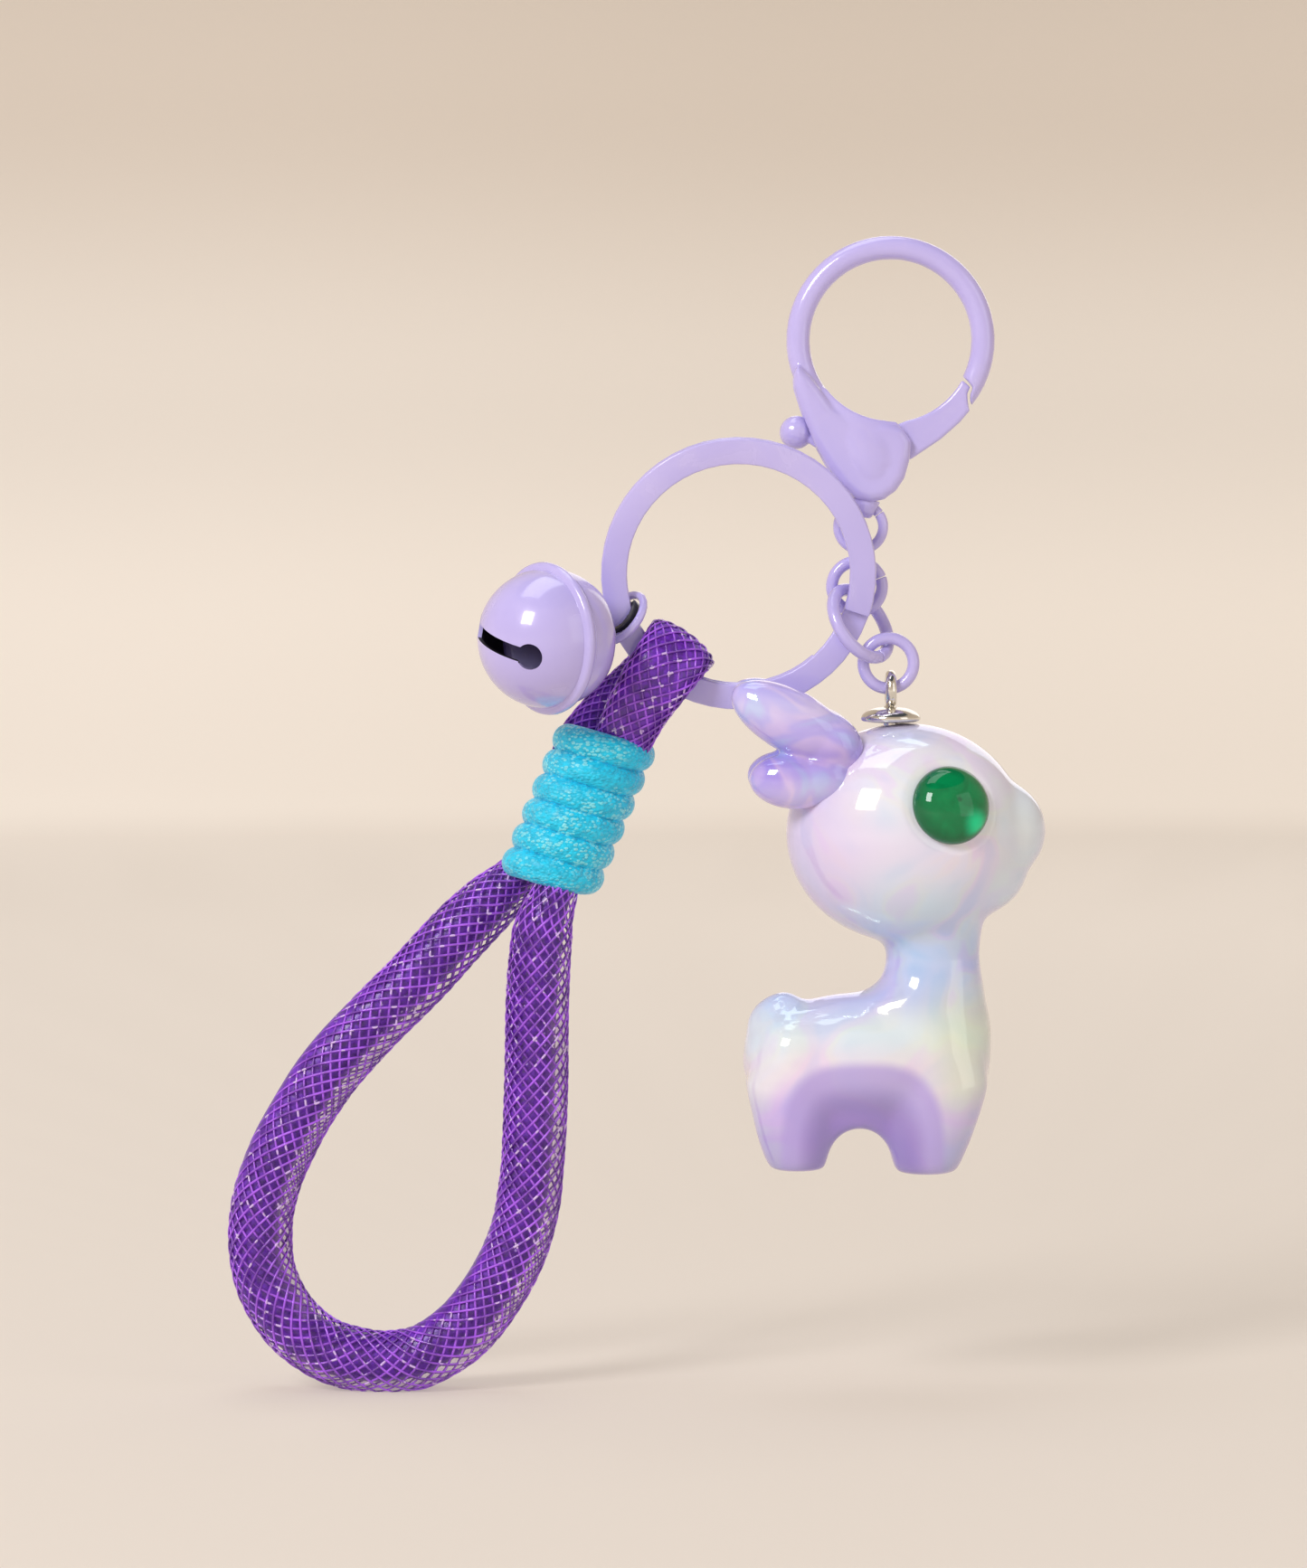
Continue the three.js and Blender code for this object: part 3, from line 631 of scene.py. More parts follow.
def bell_painted_shade():
    """Near-black painted shade on the inside of the bell's shells, standing for the dark hollow."""
    made, nodes, shader = new_material("bell_inside_painted_shade", Metallic=0.0, IOR=1.45)
    grain = nodes.noise(object_point(nodes), 900.0, 4.0)
    connect(
        nodes, shader,
        Base_Color=nodes.mix(grain, (0.002, 0.002, 0.003), (0.012, 0.011, 0.013)),
        Roughness=nodes.between(grain, -0.6, 1.6),
    )
    return made


def rubber():
    made, nodes, shader = new_material(
        "black_rubber", Metallic=0.0, IOR=1.5, Coat_Weight=0.5, Coat_Roughness=0.15
    )
    point = object_point(nodes)
    worn = nodes.group(
        group("handling"), {"Vector": point, "Gloss": 0.28, "Smear": 0.2, "Ripple Scale": 1800.0}
    )
    shade = nodes.mix(worn.outputs["Mottle"], (0.006, 0.007, 0.007), (0.02, 0.022, 0.02))
    connect(
        nodes, shader, Base_Color=shade, Roughness=worn.outputs["Roughness"],
        Normal=bumped(nodes, worn.outputs["Height"], 0.00002),
    )
    return made


def nickel():
    """Bright nickel plate with faint drawing marks."""
    base = tuple(bpy.context.scene.keychain_metal.nickel_colour)
    made, nodes, shader = new_material("nickel_plate", Metallic=1.0, IOR=1.45)
    point = object_point(nodes)
    worn = nodes.group(
        group("handling"), {"Vector": point, "Gloss": 0.13, "Smear": 0.14, "Smear Scale": 260.0}
    )
    stretched = nodes.add("ShaderNodeMapping", {"Vector": point, "Scale": (3000.0, 3000.0, 260.0)})
    drawn = nodes.noise(stretched.outputs[0], 1.0, 3.0)
    shade = nodes.mix(nodes.times(worn.outputs["Mottle"], 0.5), base, (0.55, 0.52, 0.47))
    connect(
        nodes, shader, Base_Color=shade, Roughness=worn.outputs["Roughness"],
        Normal=bumped(nodes, drawn, 0.00001, 0.4),
    )
    return made


def steel():
    made, nodes, shader = new_material("plain_steel", Metallic=1.0, IOR=1.45)
    worn = nodes.group(group("handling"), {"Vector": object_point(nodes), "Gloss": 0.3, "Smear": 0.2})
    shade = nodes.mix(worn.outputs["Mottle"], (0.56, 0.56, 0.58), (0.36, 0.35, 0.35))
    connect(
        nodes, shader, Base_Color=shade, Roughness=worn.outputs["Roughness"],
        Normal=bumped(nodes, worn.outputs["Height"], 0.00001),
    )
    return made


def height_share(nodes, point, low, high, wobble=0.0):
    """Where a point lies between two heights, with a slow wobble; also its coordinates and the wobble."""
    axes = nodes.add("ShaderNodeSeparateXYZ", {"Vector": point})
    soft = nodes.noise(point, 55.0, 1.0)
    lift = nodes.times(nodes.math("SUBTRACT", soft, 0.5), wobble)
    z = nodes.math("ADD", axes.outputs["Z"], lift)
    share = nodes.add("ShaderNodeMapRange", {"Value": z, "From Min": low, "From Max": high})
    return share.outputs["Result"], axes, soft


def pearl():
    """Pearl coat over white plastic: it drifts from lilac legs over cream and mint to a white head."""
    made, nodes, shader = new_material(
        "pearl_coat", IOR=1.5, Metallic=0.0, Coat_Weight=1.0, Coat_Roughness=0.03, Coat_IOR=1.6,
        Thin_Film_Thickness=430.0, Thin_Film_IOR=1.38,
    )
    point = object_point(nodes)
    share, axes, soft = height_share(nodes, point, -0.106, -0.053, 0.005)
    bands = [
        (0.00, (0.22, 0.15, 0.56)),
        (0.08, (0.31, 0.25, 0.76)),
        (0.16, (0.49, 0.41, 0.88)),
        (0.24, (0.80, 0.75, 0.93)),
        (0.31, (0.72, 0.86, 0.95)),
        (0.40, (0.46, 0.53, 0.94)),
        (0.50, (0.36, 0.52, 0.92)),
        (0.58, (0.58, 0.73, 0.96)),
        (0.70, (0.78, 0.70, 0.94)),
        (0.82, (0.80, 0.85, 0.98)),
        (0.93, (0.86, 0.86, 0.99)),
        (1.00, (0.74, 0.66, 0.97)),
    ]
    shade = nodes.ramp(share, bands)
    x, z = axes.outputs["X"], axes.outputs["Z"]
    film = nodes.noise(point, 85.0, 1.5, distortion=1.6)
    drift = nodes.ramp(
        film,
        [(0.30, (0.50, 0.82, 0.98)), (0.42, (0.80, 0.92, 0.98)), (0.50, (0.90, 0.92, 0.82)),
         (0.58, (0.92, 0.66, 0.94)), (0.70, (0.58, 0.50, 0.97))],
    )
    shade = nodes.mix(0.30, shade, drift)
    chest = nodes.math(
        "MULTIPLY", nodes.between(x, 0.001, 0.008),
        nodes.times(nodes.between(z, -0.101, -0.094), nodes.between(z, -0.081, -0.088)),
    )
    shade = nodes.mix(nodes.times(chest, 0.7), shade, (0.70, 0.80, 0.60))
    # Lilac zone round the arch between the legs; it is painted darker toward the arch, a painted shade under
    # the belly.
    across = nodes.math("ABSOLUTE", nodes.times(nodes.math("ADD", x, 0.0034), 1 / 0.0094))
    above = nodes.math("ABSOLUTE", nodes.times(nodes.math("ADD", z, 0.1045), 1 / 0.0122))
    span = nodes.math("ADD", nodes.math("POWER", across, 3.0), nodes.math("POWER", above, 3.0))
    arch = nodes.mix(nodes.between(span, 0.12, 0.6), (0.26, 0.18, 0.58), (0.44, 0.36, 0.80))
    shade = nodes.mix(nodes.times(nodes.between(span, 1.2, 0.8), 0.85), shade, arch)
    nape = nodes.times(nodes.between(x, 0.001, -0.009), nodes.between(z, -0.079, -0.073))
    shade = nodes.mix(nodes.times(nape, 0.6), shade, (0.76, 0.58, 0.92))
    muzzle = nodes.times(nodes.between(x, 0.008, 0.016), nodes.between(z, -0.079, -0.072))
    shade = nodes.mix(nodes.times(muzzle, 0.6), shade, (0.74, 0.86, 0.86))
    # Painted sheen: faces turned edge-on to the camera take a tint that drifts between blue, lilac and cream.
    edge = nodes.add("ShaderNodeLayerWeight", {"Blend": 0.35}).outputs["Facing"]
    tint = nodes.ramp(
        soft, [(0.3, (0.50, 0.74, 0.94)), (0.5, (0.68, 0.54, 0.90)), (0.7, (0.86, 0.84, 0.66))]
    )
    shade = nodes.mix(nodes.times(edge, 0.42), shade, tint)
    worn = nodes.group(
        group("handling"), {"Vector": point, "Gloss": 0.09, "Smear": 0.05, "Smear Scale": 70.0}
    )
    connect(
        nodes, shader, Base_Color=shade, Roughness=worn.outputs["Roughness"],
        Normal=bumped(nodes, worn.outputs["Height"], 0.00002, 0.35),
    )
    return made


def pearl_lilac():
    """The same coat over the lilac ears."""
    made, nodes, shader = new_material(
        "pearl_ears", IOR=1.5, Metallic=0.0, Coat_Weight=1.0, Coat_Roughness=0.03, Coat_IOR=1.6,
        Thin_Film_Thickness=390.0, Thin_Film_IOR=1.38,
    )
    point = object_point(nodes)
    share, _, _ = height_share(nodes, point, -0.064, -0.048, 0.003)
    shade = nodes.ramp(
        share,
        [
            (0.0, (0.62, 0.50, 0.86)),
            (0.18, (0.60, 0.50, 0.92)),
            (0.34, (0.38, 0.28, 0.84)),
            (0.44, (0.28, 0.18, 0.72)),
            (0.60, (0.44, 0.35, 0.92)),
            (0.80, (0.62, 0.58, 0.96)),
            (1.0, (0.48, 0.42, 0.94)),
        ],
    )
    film = nodes.noise(point, 120.0, 1.5, distortion=1.4)
    drift = nodes.ramp(
        film,
        [
            (0.34, (0.50, 0.72, 0.98)), (0.46, (0.56, 0.50, 0.95)), (0.55, (0.90, 0.70, 0.92)),
            (0.66, (0.42, 0.32, 0.90))
        ],
    )
    shade = nodes.mix(0.38, shade, drift)
    # Painted sheen: faces turned edge-on to the camera take a pale blue tint.
    edge = nodes.add("ShaderNodeLayerWeight", {"Blend": 0.35}).outputs["Facing"]
    shade = nodes.mix(nodes.times(edge, 0.4), shade, (0.52, 0.60, 0.92))
    worn = nodes.group(
        group("handling"), {"Vector": point, "Gloss": 0.09, "Smear": 0.05, "Smear Scale": 90.0}
    )
    connect(
        nodes, shader, Base_Color=shade, Roughness=worn.outputs["Roughness"],
        Normal=bumped(nodes, worn.outputs["Height"], 0.00002, 0.35),
    )
    return made


def green_glass():
    """Emerald glass cabochon: darker toward the rim as painted shade, with a painted pool of light low on one
    side, where light gathers, that also glows by emission.
    """
    base = tuple(bpy.context.scene.keychain_charm.eye_colour)
    made, nodes, shader = new_material(
        "emerald_glass", IOR=1.33, Coat_Weight=0.4, Coat_Roughness=0.01, Metallic=0.0
    )
    uv = nodes.add("ShaderNodeUVMap", uv_map="dome").outputs["UV"]
    axes = nodes.add("ShaderNodeSeparateXYZ", {"Vector": uv})
    across, up = nodes.math(
        "SUBTRACT", axes.outputs["X"], 0.5
    ), nodes.math("SUBTRACT", axes.outputs["Y"], 0.5)
    radius = nodes.distance(across, up)
    swirl = nodes.noise(uv, 4.0, 2.0, distortion=1.0)
    deep = nodes.mix(nodes.between(swirl, 0.35, 0.65), [c * 0.9 for c in base], [c * 1.1 for c in base])
    # Painted shade: the glass darkens toward its rim.
    rim = nodes.between(radius, 0.33, 0.5)
    deep = nodes.mix(nodes.times(rim, 0.65), deep, (0.0, 0.10, 0.035))
    # Painted light: a bright pool low on one side of the eye.
    low_x, low_y = nodes.math("SUBTRACT", across, 0.25), nodes.math("ADD", up, 0.3)
    pool = nodes.distance(low_x, low_y)
    painted_glow = nodes.times(nodes.between(pool, 0.24, 0.02), nodes.between(radius, 0.49, 0.42))
    deep = nodes.mix(nodes.times(painted_glow, 0.8), deep, (0.0, 0.72, 0.32))
    pupil = nodes.between(radius, 0.05, 0.01)
    deep = nodes.mix(nodes.times(pupil, 0.6), deep, (0.0, 0.05, 0.015))
    worn = nodes.group(group("handling"), {"Vector": object_point(nodes), "Gloss": 0.04, "Smear": 0.03})
    connect(nodes, shader, Base_Color=deep, Roughness=worn.outputs["Roughness"])
    # The painted pool of light also glows by emission, though the eye is no lamp.
    connect(nodes, shader, Emission_Color=nodes.mix(painted_glow, (0.0, 0.0, 0.0), (0.0, 0.30, 0.12)))
    shader.inputs["Emission Strength"].default_value = 0.25
    return made


def rope_core():
    """Glossy deep purple core with bright painted glints where the net's light falls on it."""
    base = tuple(bpy.context.scene.keychain_strap.core_colour)
    made, nodes, shader = new_material(
        "rope_core", IOR=1.5, Coat_Weight=0.35, Coat_Roughness=0.2, Metallic=0.0
    )
    point = object_point(nodes)
    painted_specks = nodes.group(group("painted_glints"), {"Vector": point, "Scale": 900.0, "Size": 0.16, "Share": 0.3})
    weave = nodes.noise(point, 1400.0, 3.0)
    shade = nodes.mix(nodes.between(weave, 0.35, 0.65), [c * 0.7 for c in base], [c * 1.35 for c in base])
    # Painted glints: pale specks stand for light catching the core.
    shade = nodes.mix(nodes.times(painted_specks.outputs["Mask"], 0.7), shade, (0.62, 0.42, 0.90))
    connect(
        nodes, shader, Base_Color=shade, Roughness=nodes.between(weave, -0.4, 1.6),
        Normal=bumped(nodes, weave, 0.00012),
    )
    return made


def rope_net():
    """Extruded purple plastic net, with bright painted glints on its strands."""
    base = tuple(bpy.context.scene.keychain_strap.net_colour)
    made, nodes, shader = new_material(
        "rope_net", IOR=1.5, Coat_Weight=0.6, Coat_Roughness=0.08, Metallic=0.0
    )
    point = object_point(nodes)
    drift = nodes.noise(point, 500.0, 2.0)
    painted_specks = nodes.group(group("painted_glints"), {"Vector": point, "Scale": 900.0, "Size": 0.33, "Share": 0.50})
    shade = nodes.mix(
        nodes.between(drift, 0.3, 0.7), [c * 0.62 for c in base], [min(c * 1.7, 1) for c in base]
    )
    # Painted glints: pale specks stand for light catching the strands.
    shade = nodes.mix(nodes.times(painted_specks.outputs["Mask"], 0.75), shade, (0.84, 0.66, 1.0))
    connect(
        nodes, shader, Base_Color=shade, Roughness=nodes.between(drift, -0.5, 2.2),
    )
    return made


def rope_film():
    """The thin film between the net's strands, faintly purple and mostly clear."""
    made, nodes, shader = new_material(
        "rope_film", IOR=1.3, Coat_Weight=0.2, Coat_Roughness=0.1, Metallic=0.0
    )
    point = object_point(nodes)
    drift = nodes.noise(point, 300.0, 2.0)
    shade = nodes.mix(drift, (0.40, 0.20, 0.60), (0.56, 0.36, 0.74))
    bare = nodes.add("ShaderNodeAttribute", attribute_name="bare_net").outputs["Fac"]
    seen = nodes.math("ADD", nodes.times(nodes.between(bare, 0.25, 0.85), 0.5), 0.05)
    thin = nodes.times(nodes.between(drift, -0.5, 1.2), seen)
    connect(nodes, shader, Base_Color=shade, Alpha=thin, Roughness=nodes.between(drift, -0.3, 2.2))
    return made


def waxed_cord():
    """Waxed braided cord, cyan, with pale flecks painted where the wax catches light, as painted glints."""
    base = tuple(bpy.context.scene.keychain_strap.wrap_colour)
    made, nodes, shader = new_material(
        "waxed_cord", IOR=1.45, Coat_Weight=0.25, Coat_Roughness=0.3, Metallic=0.0, Sheen_Weight=0.15
    )
    point = object_point(nodes)
    leaning = nodes.add(
        "ShaderNodeMapping", {"Vector": point, "Rotation": (0.0, -WRAP_TILT, 0.0), "Scale": (1.0, 1.0, 1.6)}
    )
    painted_flecks = nodes.group(
        group("painted_glints"), {"Vector": leaning.outputs[0], "Scale": 1900.0, "Size": 0.50, "Share": 0.66}
    )
    weave = nodes.noise(leaning.outputs[0], 900.0, 4.0, roughness=0.65)
    patch = nodes.noise(point, 260.0, 2.0)
    shade = nodes.mix(
        nodes.between(weave, 0.35, 0.65), [c * 0.85 for c in base], [min(c * 1.12, 1) for c in base]
    )
    # Painted glints: pale flecks where the wax catches light, in patches.
    amount = nodes.times(painted_flecks.outputs["Mask"], nodes.between(patch, 0.3, 0.6))
    shade = nodes.mix(nodes.times(amount, 0.66), shade, (0.34, 0.94, 1.0))
    height = nodes.math("ADD", painted_flecks.outputs["Height"], nodes.times(weave, 0.8))
    connect(
        nodes, shader, Base_Color=shade, Roughness=nodes.between(weave, -0.2, 1.4),
        Normal=bumped(nodes, height, 0.00024, 0.9),
    )
    return made


def material(name):
    """Makes a finish the first time that it is asked for."""
    if name not in MATERIALS:
        makers = {
            "enamel": enamel, "bell_painted_shade": bell_painted_shade, "rubber": rubber, "nickel": nickel, "steel": steel,
            "pearl": pearl, "pearl_lilac": pearl_lilac, "green_glass": green_glass, "rope_core": rope_core,
            "rope_net": rope_net, "rope_film": rope_film, "waxed_cord": waxed_cord,
        }
        MATERIALS[name] = makers[name]()
    return MATERIALS[name]


# ---- stage ------------------------------------------------------------------------------------------------
def soft_light(name, place_at, aim, width, height, power, tint):
    data = bpy.data.lights.new(name, "AREA")
    data.shape = "RECTANGLE"
    data.size, data.size_y = width, height
    data.energy = power
    data.color = tint
    lamp = bpy.data.objects.new(name, data)
    bpy.context.scene.collection.objects.link(lamp)
    lamp.location = place_at
    lamp.rotation_mode = "QUATERNION"
    lamp.rotation_quaternion = (Vector(place_at) - Vector(aim)).to_track_quat("Z", "Y")
    return lamp


def backdrop_material(base):
    """Matt paper that glows by emission so that it stays even; the glow is painted brightest where the paper
    curves up from the floor and on the key light's side, and the wall darkens a little toward its top, as
    painted light and shade.
    """
    made, nodes, shader = new_material(
        "backdrop_paper", Metallic=0.0, IOR=1.2, Roughness=0.95, Emission_Strength=1.0
    )
    point = object_point(nodes)
    fibre = nodes.noise(point, 1800.0, 3.0)
    cloud = nodes.noise(point, 2.5, 1.0)
    axes = nodes.add("ShaderNodeSeparateXYZ", {"Vector": point})
    rise = nodes.add("ShaderNodeMapRange", {"Value": axes.outputs["Z"], "From Min": -0.14, "From Max": 0.26})
    shade = nodes.mix(cloud, [c * 1.18 for c in base], [min(1, c * 1.25) for c in base])
    # Painted light and shade: the emission is brightest where the paper curves up from the floor and fades
    # toward the wall's top.
    steps = ((0.02, 0.82), (0.032, 1.02), (0.07, 1.43), (0.20, 1.46), (0.42, 1.23), (0.72, 0.93), (1.0, 0.75))
    warm = (0.985, 0.935, 0.89)
    painted_glow = nodes.ramp(
        rise.outputs["Result"],
        [
            (where, [c * level * (w if where > 0.5 else 1) for c, w in zip(base, warm)]) for where,
            level in steps
        ],
    )
    # Painted light: the emission is raised on the left, the key light's side.
    lit_side = nodes.between(axes.outputs["X"], 0.08, -0.22)
    painted_glow = nodes.mix(lit_side, painted_glow, nodes.mix(1.0, painted_glow, (1.07, 1.075, 1.085), "MULTIPLY"))
    connect(nodes, shader, Base_Color=shade, Emission_Color=painted_glow)
    connect(nodes, shader, Normal=bumped(nodes, fibre, 0.00004, 0.3))
    return made


class KEYCHAIN_OT_stage(bpy.types.Operator):
    """Add the camera, the soft lights and a seamless paper floor"""

    bl_idname = "keychain.stage"
    bl_label = "Stage"

    def execute(self, context):
        scene, settings = context.scene, context.scene.keychain_stage
        data = bpy.data.cameras.new("camera")
        data.lens = settings.camera_lens
        data.sensor_width = 36
        data.clip_end = 20
        camera = bpy.data.objects.new("camera", data)
        scene.collection.objects.link(camera)
        distance = VIEW_HEIGHT * data.lens / data.sensor_width
        camera.location = CAMERA_AIM + distance * Vector((0, -math.cos(CAMERA_TILT), math.sin(CAMERA_TILT)))
        camera.rotation_euler = (math.pi / 2 - CAMERA_TILT, 0, 0)
        scene.camera = camera

        floor_z = CAD_BOX[0][2] - FLOOR_GAP
        bpy.ops.mesh.primitive_circle_add(
            vertices=96, radius=FLOOR_RADIUS, fill_type="NGON", location=(0, 0, floor_z)
        )
        paper = added("paper_floor")
        for radius, lift in PAPER_RINGS:
            extrude_rim(paper, radius, floor_z + lift, lambda edge: True)
        modify(paper, "SUBSURF", levels=1, render_levels=1)
        pick(paper)
        bpy.ops.object.shade_smooth()
        paper.data.materials.append(backdrop_material(tuple(settings.floor_colour)))

        for name, spot, *rest in SOFT_LIGHTS:
            soft_light(name, spot, LIGHT_AIM, *rest)
        world = bpy.data.worlds.new("studio")
        world.use_nodes = True
        world.node_tree.nodes["Background"].inputs["Color"].default_value = (0.80, 0.88, 1.0, 1)
        world.node_tree.nodes["Background"].inputs["Strength"].default_value = 0.09
        scene.world = world
        scene.view_settings.view_transform = "Standard"
        return {"FINISHED"}


# ---- strap ------------------------------------------------------------------------------------------------
def rope_frames(samples, first_side):
    """Middle, side and front vectors along a run of samples, carried on without twist."""
    frames = []
    side = first_side.normalized()
    for i, (point, extra) in enumerate(samples):
        before, after = samples[max(i - 1, 0)][0], samples[min(i + 1, len(samples) - 1)][0]
        forward = (after - before).normalized()
        side = (side - forward * side.dot(forward)).normalized()
        frames.append((point, side, forward.cross(side), extra))
    return frames


def ring_points(frame_at, wide, thick, count, shift=Vector()):
    point, side, front, _ = frame_at
    return [
        point + shift + side * (wide * math.cos(a)) + front * (thick * math.sin(a))
        for a in (2 * math.pi * k / count for k in range(count))
    ]


def net_strands(frames, lift, settings, lead, sizes):
    """The two families of strands of the net, each a thin four-sided wire laid on the sleeve."""
    parts = []
    step = (frames[1][0] - frames[0][0]).length
    for hand in (1, -1):
        height = lift + (OVER_LIFT if hand > 0 else UNDER_LIFT)
        for strand in range(settings.strands):
            rings = []
            for i, frame_at in enumerate(frames):
                point, side, front, _ = frame_at
                wide, thick = sizes[i]
                angle = 2 * math.pi * (strand / settings.strands + hand * i * step / lead)
                out = side * (math.cos(angle) * (wide + height)) + front * (
                    math.sin(angle) * (thick + height)
                )
                normal = (side * (math.cos(angle) / wide) + front * (math.sin(angle) / thick)).normalized()
                forward = side.cross(front)
                turning = side * (-math.sin(angle)) + front * math.cos(angle)
                run = (forward * lead + turning * (hand * 2 * math.pi * wide)).normalized()
                across = run.cross(normal).normalized()
                centre = point + out
                r = settings.strand_radius
                rings.append(
                    [
                        centre + across * r * 1.25, centre + normal * r, centre - across * r * 1.25,
                        centre - normal * r
                    ]
                )
            verts, faces = tube_skin(rings)
            parts.append((verts, faces, 1))
    return parts


class KEYCHAIN_OT_strap(bpy.types.Operator):
    """Make the rope loop and the rope folded over the split ring, and finish the rope's ends"""

    bl_idname = "keychain.strap"
    bl_label = "Wrist strap"

    def execute(self, context):
        settings = context.scene.keychain_strap
        self.loop(settings)
        self.fold(settings)
        dress("rope_ends", material("rope_core"))
        return {"FINISHED"}

    def loop(self, settings):
        (start, start_share), (end, end_share) = LOOP_TUCKS
        stations = [(*start, start_share)] + [(*p, 1.0) for p in LOOP_ROUTE] + [(*end, end_share)]
        for at_end, share in ((1, 0.74), (2, 0.94), (-2, 0.74), (-3, 0.95)):
            stations[at_end] = (*stations[at_end][:3], share)
        samples, run = along_curve(stations, 300)
        frames = rope_frames(samples, Vector((0, 1, 0)))
        lean = Vector((-0.75, 0, 0.66))
        core_rings, film_rings, sizes, bare = [], [], [], []
        for frame_at, (point, (share,)) in zip(frames, samples):
            forward = frame_at[1].cross(frame_at[2])
            aside = lean - forward * lean.dot(forward)
            sag = min(1, max(0, (SAG_FROM - point.z) / SAG_OVER))
            slack = (settings.rope_radius - settings.core_radius) * (0.2 + 0.85 * sag)
            wobble = 1 + 0.02 * noise.noise(point * 260)
            core = settings.core_radius * share * wobble
            core_rings.append(ring_points(frame_at, core, core, 28, aside * slack))
            skin = (settings.rope_radius - NET_INSET) * share * wobble
            sizes.append((skin, skin))
            film_rings.append(ring_points(frame_at, skin, skin, 28))
            away = -aside.normalized() if aside.length > 0.05 else Vector()
            clear = min(1, slack / FULL_SLACK)
            bare += [max(0.0, (spot - point).normalized().dot(away)) * clear for spot in film_rings[-1]]
        parts = [(*tube_skin(core_rings), 0), (*tube_skin(film_rings), 2)]
        parts += net_strands(frames, 0.00003, settings, LOOP_LEAD, sizes)
        rope = new_mesh("strap_rope_loop", parts)
        shown = rope.data.attributes.new("bare_net", "FLOAT", "POINT")
        values = [0.0] * len(bare) + bare + [0.0] * (len(rope.data.vertices) - 2 * len(bare))
        shown.data.foreach_set("value", values)
        hand_over(
            rope, "strap", ["strap_loop"],
            [material("rope_core"), material("rope_net"), material("rope_film")],
        )

    def fold(self, settings):
        samples, _ = along_curve(FOLD_STATIONS, 110)
        last = len(samples) - 1
        frames = [
            self.across(point, samples[max(i - 1, 0)][0], samples[min(i + 1, last)][0], extra)
            for i, (point, extra) in enumerate(samples)
        ]
        core_rings, sizes = [], []
        count = 40
        for point, side, front, (wide, thick) in frames:
            ring = []
            for k in range(count):
                a = 2 * math.pi * k / count
                crease = 1 - 0.16 * math.exp(-((math.cos(a) / 0.22) ** 2)) * (
                    0.6 + 0.4 * noise.noise(point * 300)
                )
                lump = 1 + 0.035 * noise.noise(point * 500 + Vector((math.cos(a), math.sin(a), 0)) * 1.5)
                flat = (thick * 0.92 - 0.0002) * math.sin(a) * crease * lump
                ring.append(point + side * (wide * 0.93 * math.cos(a) * lump) + front * flat)
            core_rings.append(ring)
            sizes.append((wide * 0.97, thick * 0.95 - 0.00026))
        parts = [(*tube_skin(core_rings), 0)]
        parts += net_strands(frames, 0.00002, settings, FOLD_LEAD, sizes)
        flap = new_mesh("strap_rope_fold", parts)
        hand_over(flap, "strap", ["strap_fold"], [material("rope_core"), material("rope_net")])

    @staticmethod
    def across(point, before, after, extra):
        forward = (after - before).normalized()
        side = (BAND_ALONG - forward * BAND_ALONG.dot(forward)).normalized()
        return point, side, forward.cross(side), extra


class KEYCHAIN_OT_binding(bpy.types.Operator):
    """Make the waxed cord wound round the strap, and finish the crimp tube under it"""

    bl_idname = "keychain.binding"
    bl_label = "Cord binding"

    def execute(self, context):
        settings = context.scene.keychain_strap
        pitch, cord, outer, turns = 0.00308, 0.00162, 0.006, settings.wrap_turns - 0.5
        lead_in, steps = 0.16, 54
        rings = []
        total = int((turns + 2 * lead_in) * steps)
        for i in range(total + 1):
            turn = i / steps - lead_in
            laid = min(max(turn, 0), turns)
            tucked = abs(turn - laid) / lead_in
            angle = 2 * math.pi * turn + math.pi
            reach = outer - cord - 0.0024 * tucked * tucked * (3 - 2 * tucked)
            out = Vector((math.cos(angle), math.sin(angle), 0))
            centre = out * reach + Vector((0, 0, pitch * (laid - turns / 2)))
            girth = cord * (1 - 0.15 * tucked)
            rings.append(
                [centre + out * (girth * 0.98 * math.cos(a)) + Vector((0, 0, girth * 1.1 * math.sin(a)))
                 for a in (2 * math.pi * k / 24 for k in range(24))]
            )
        coil = new_mesh("cord_winding", [(*tube_skin(rings), 0)])
        place(coil, Matrix.Translation(WRAP_CENTRE) @ Matrix.Rotation(WRAP_TILT, 4, "Y"))
        hand_over(coil, "strap", ["cord_binding"], [material("waxed_cord")])
        dress("end_ferrule", material("steel"))
        return {"FINISHED"}


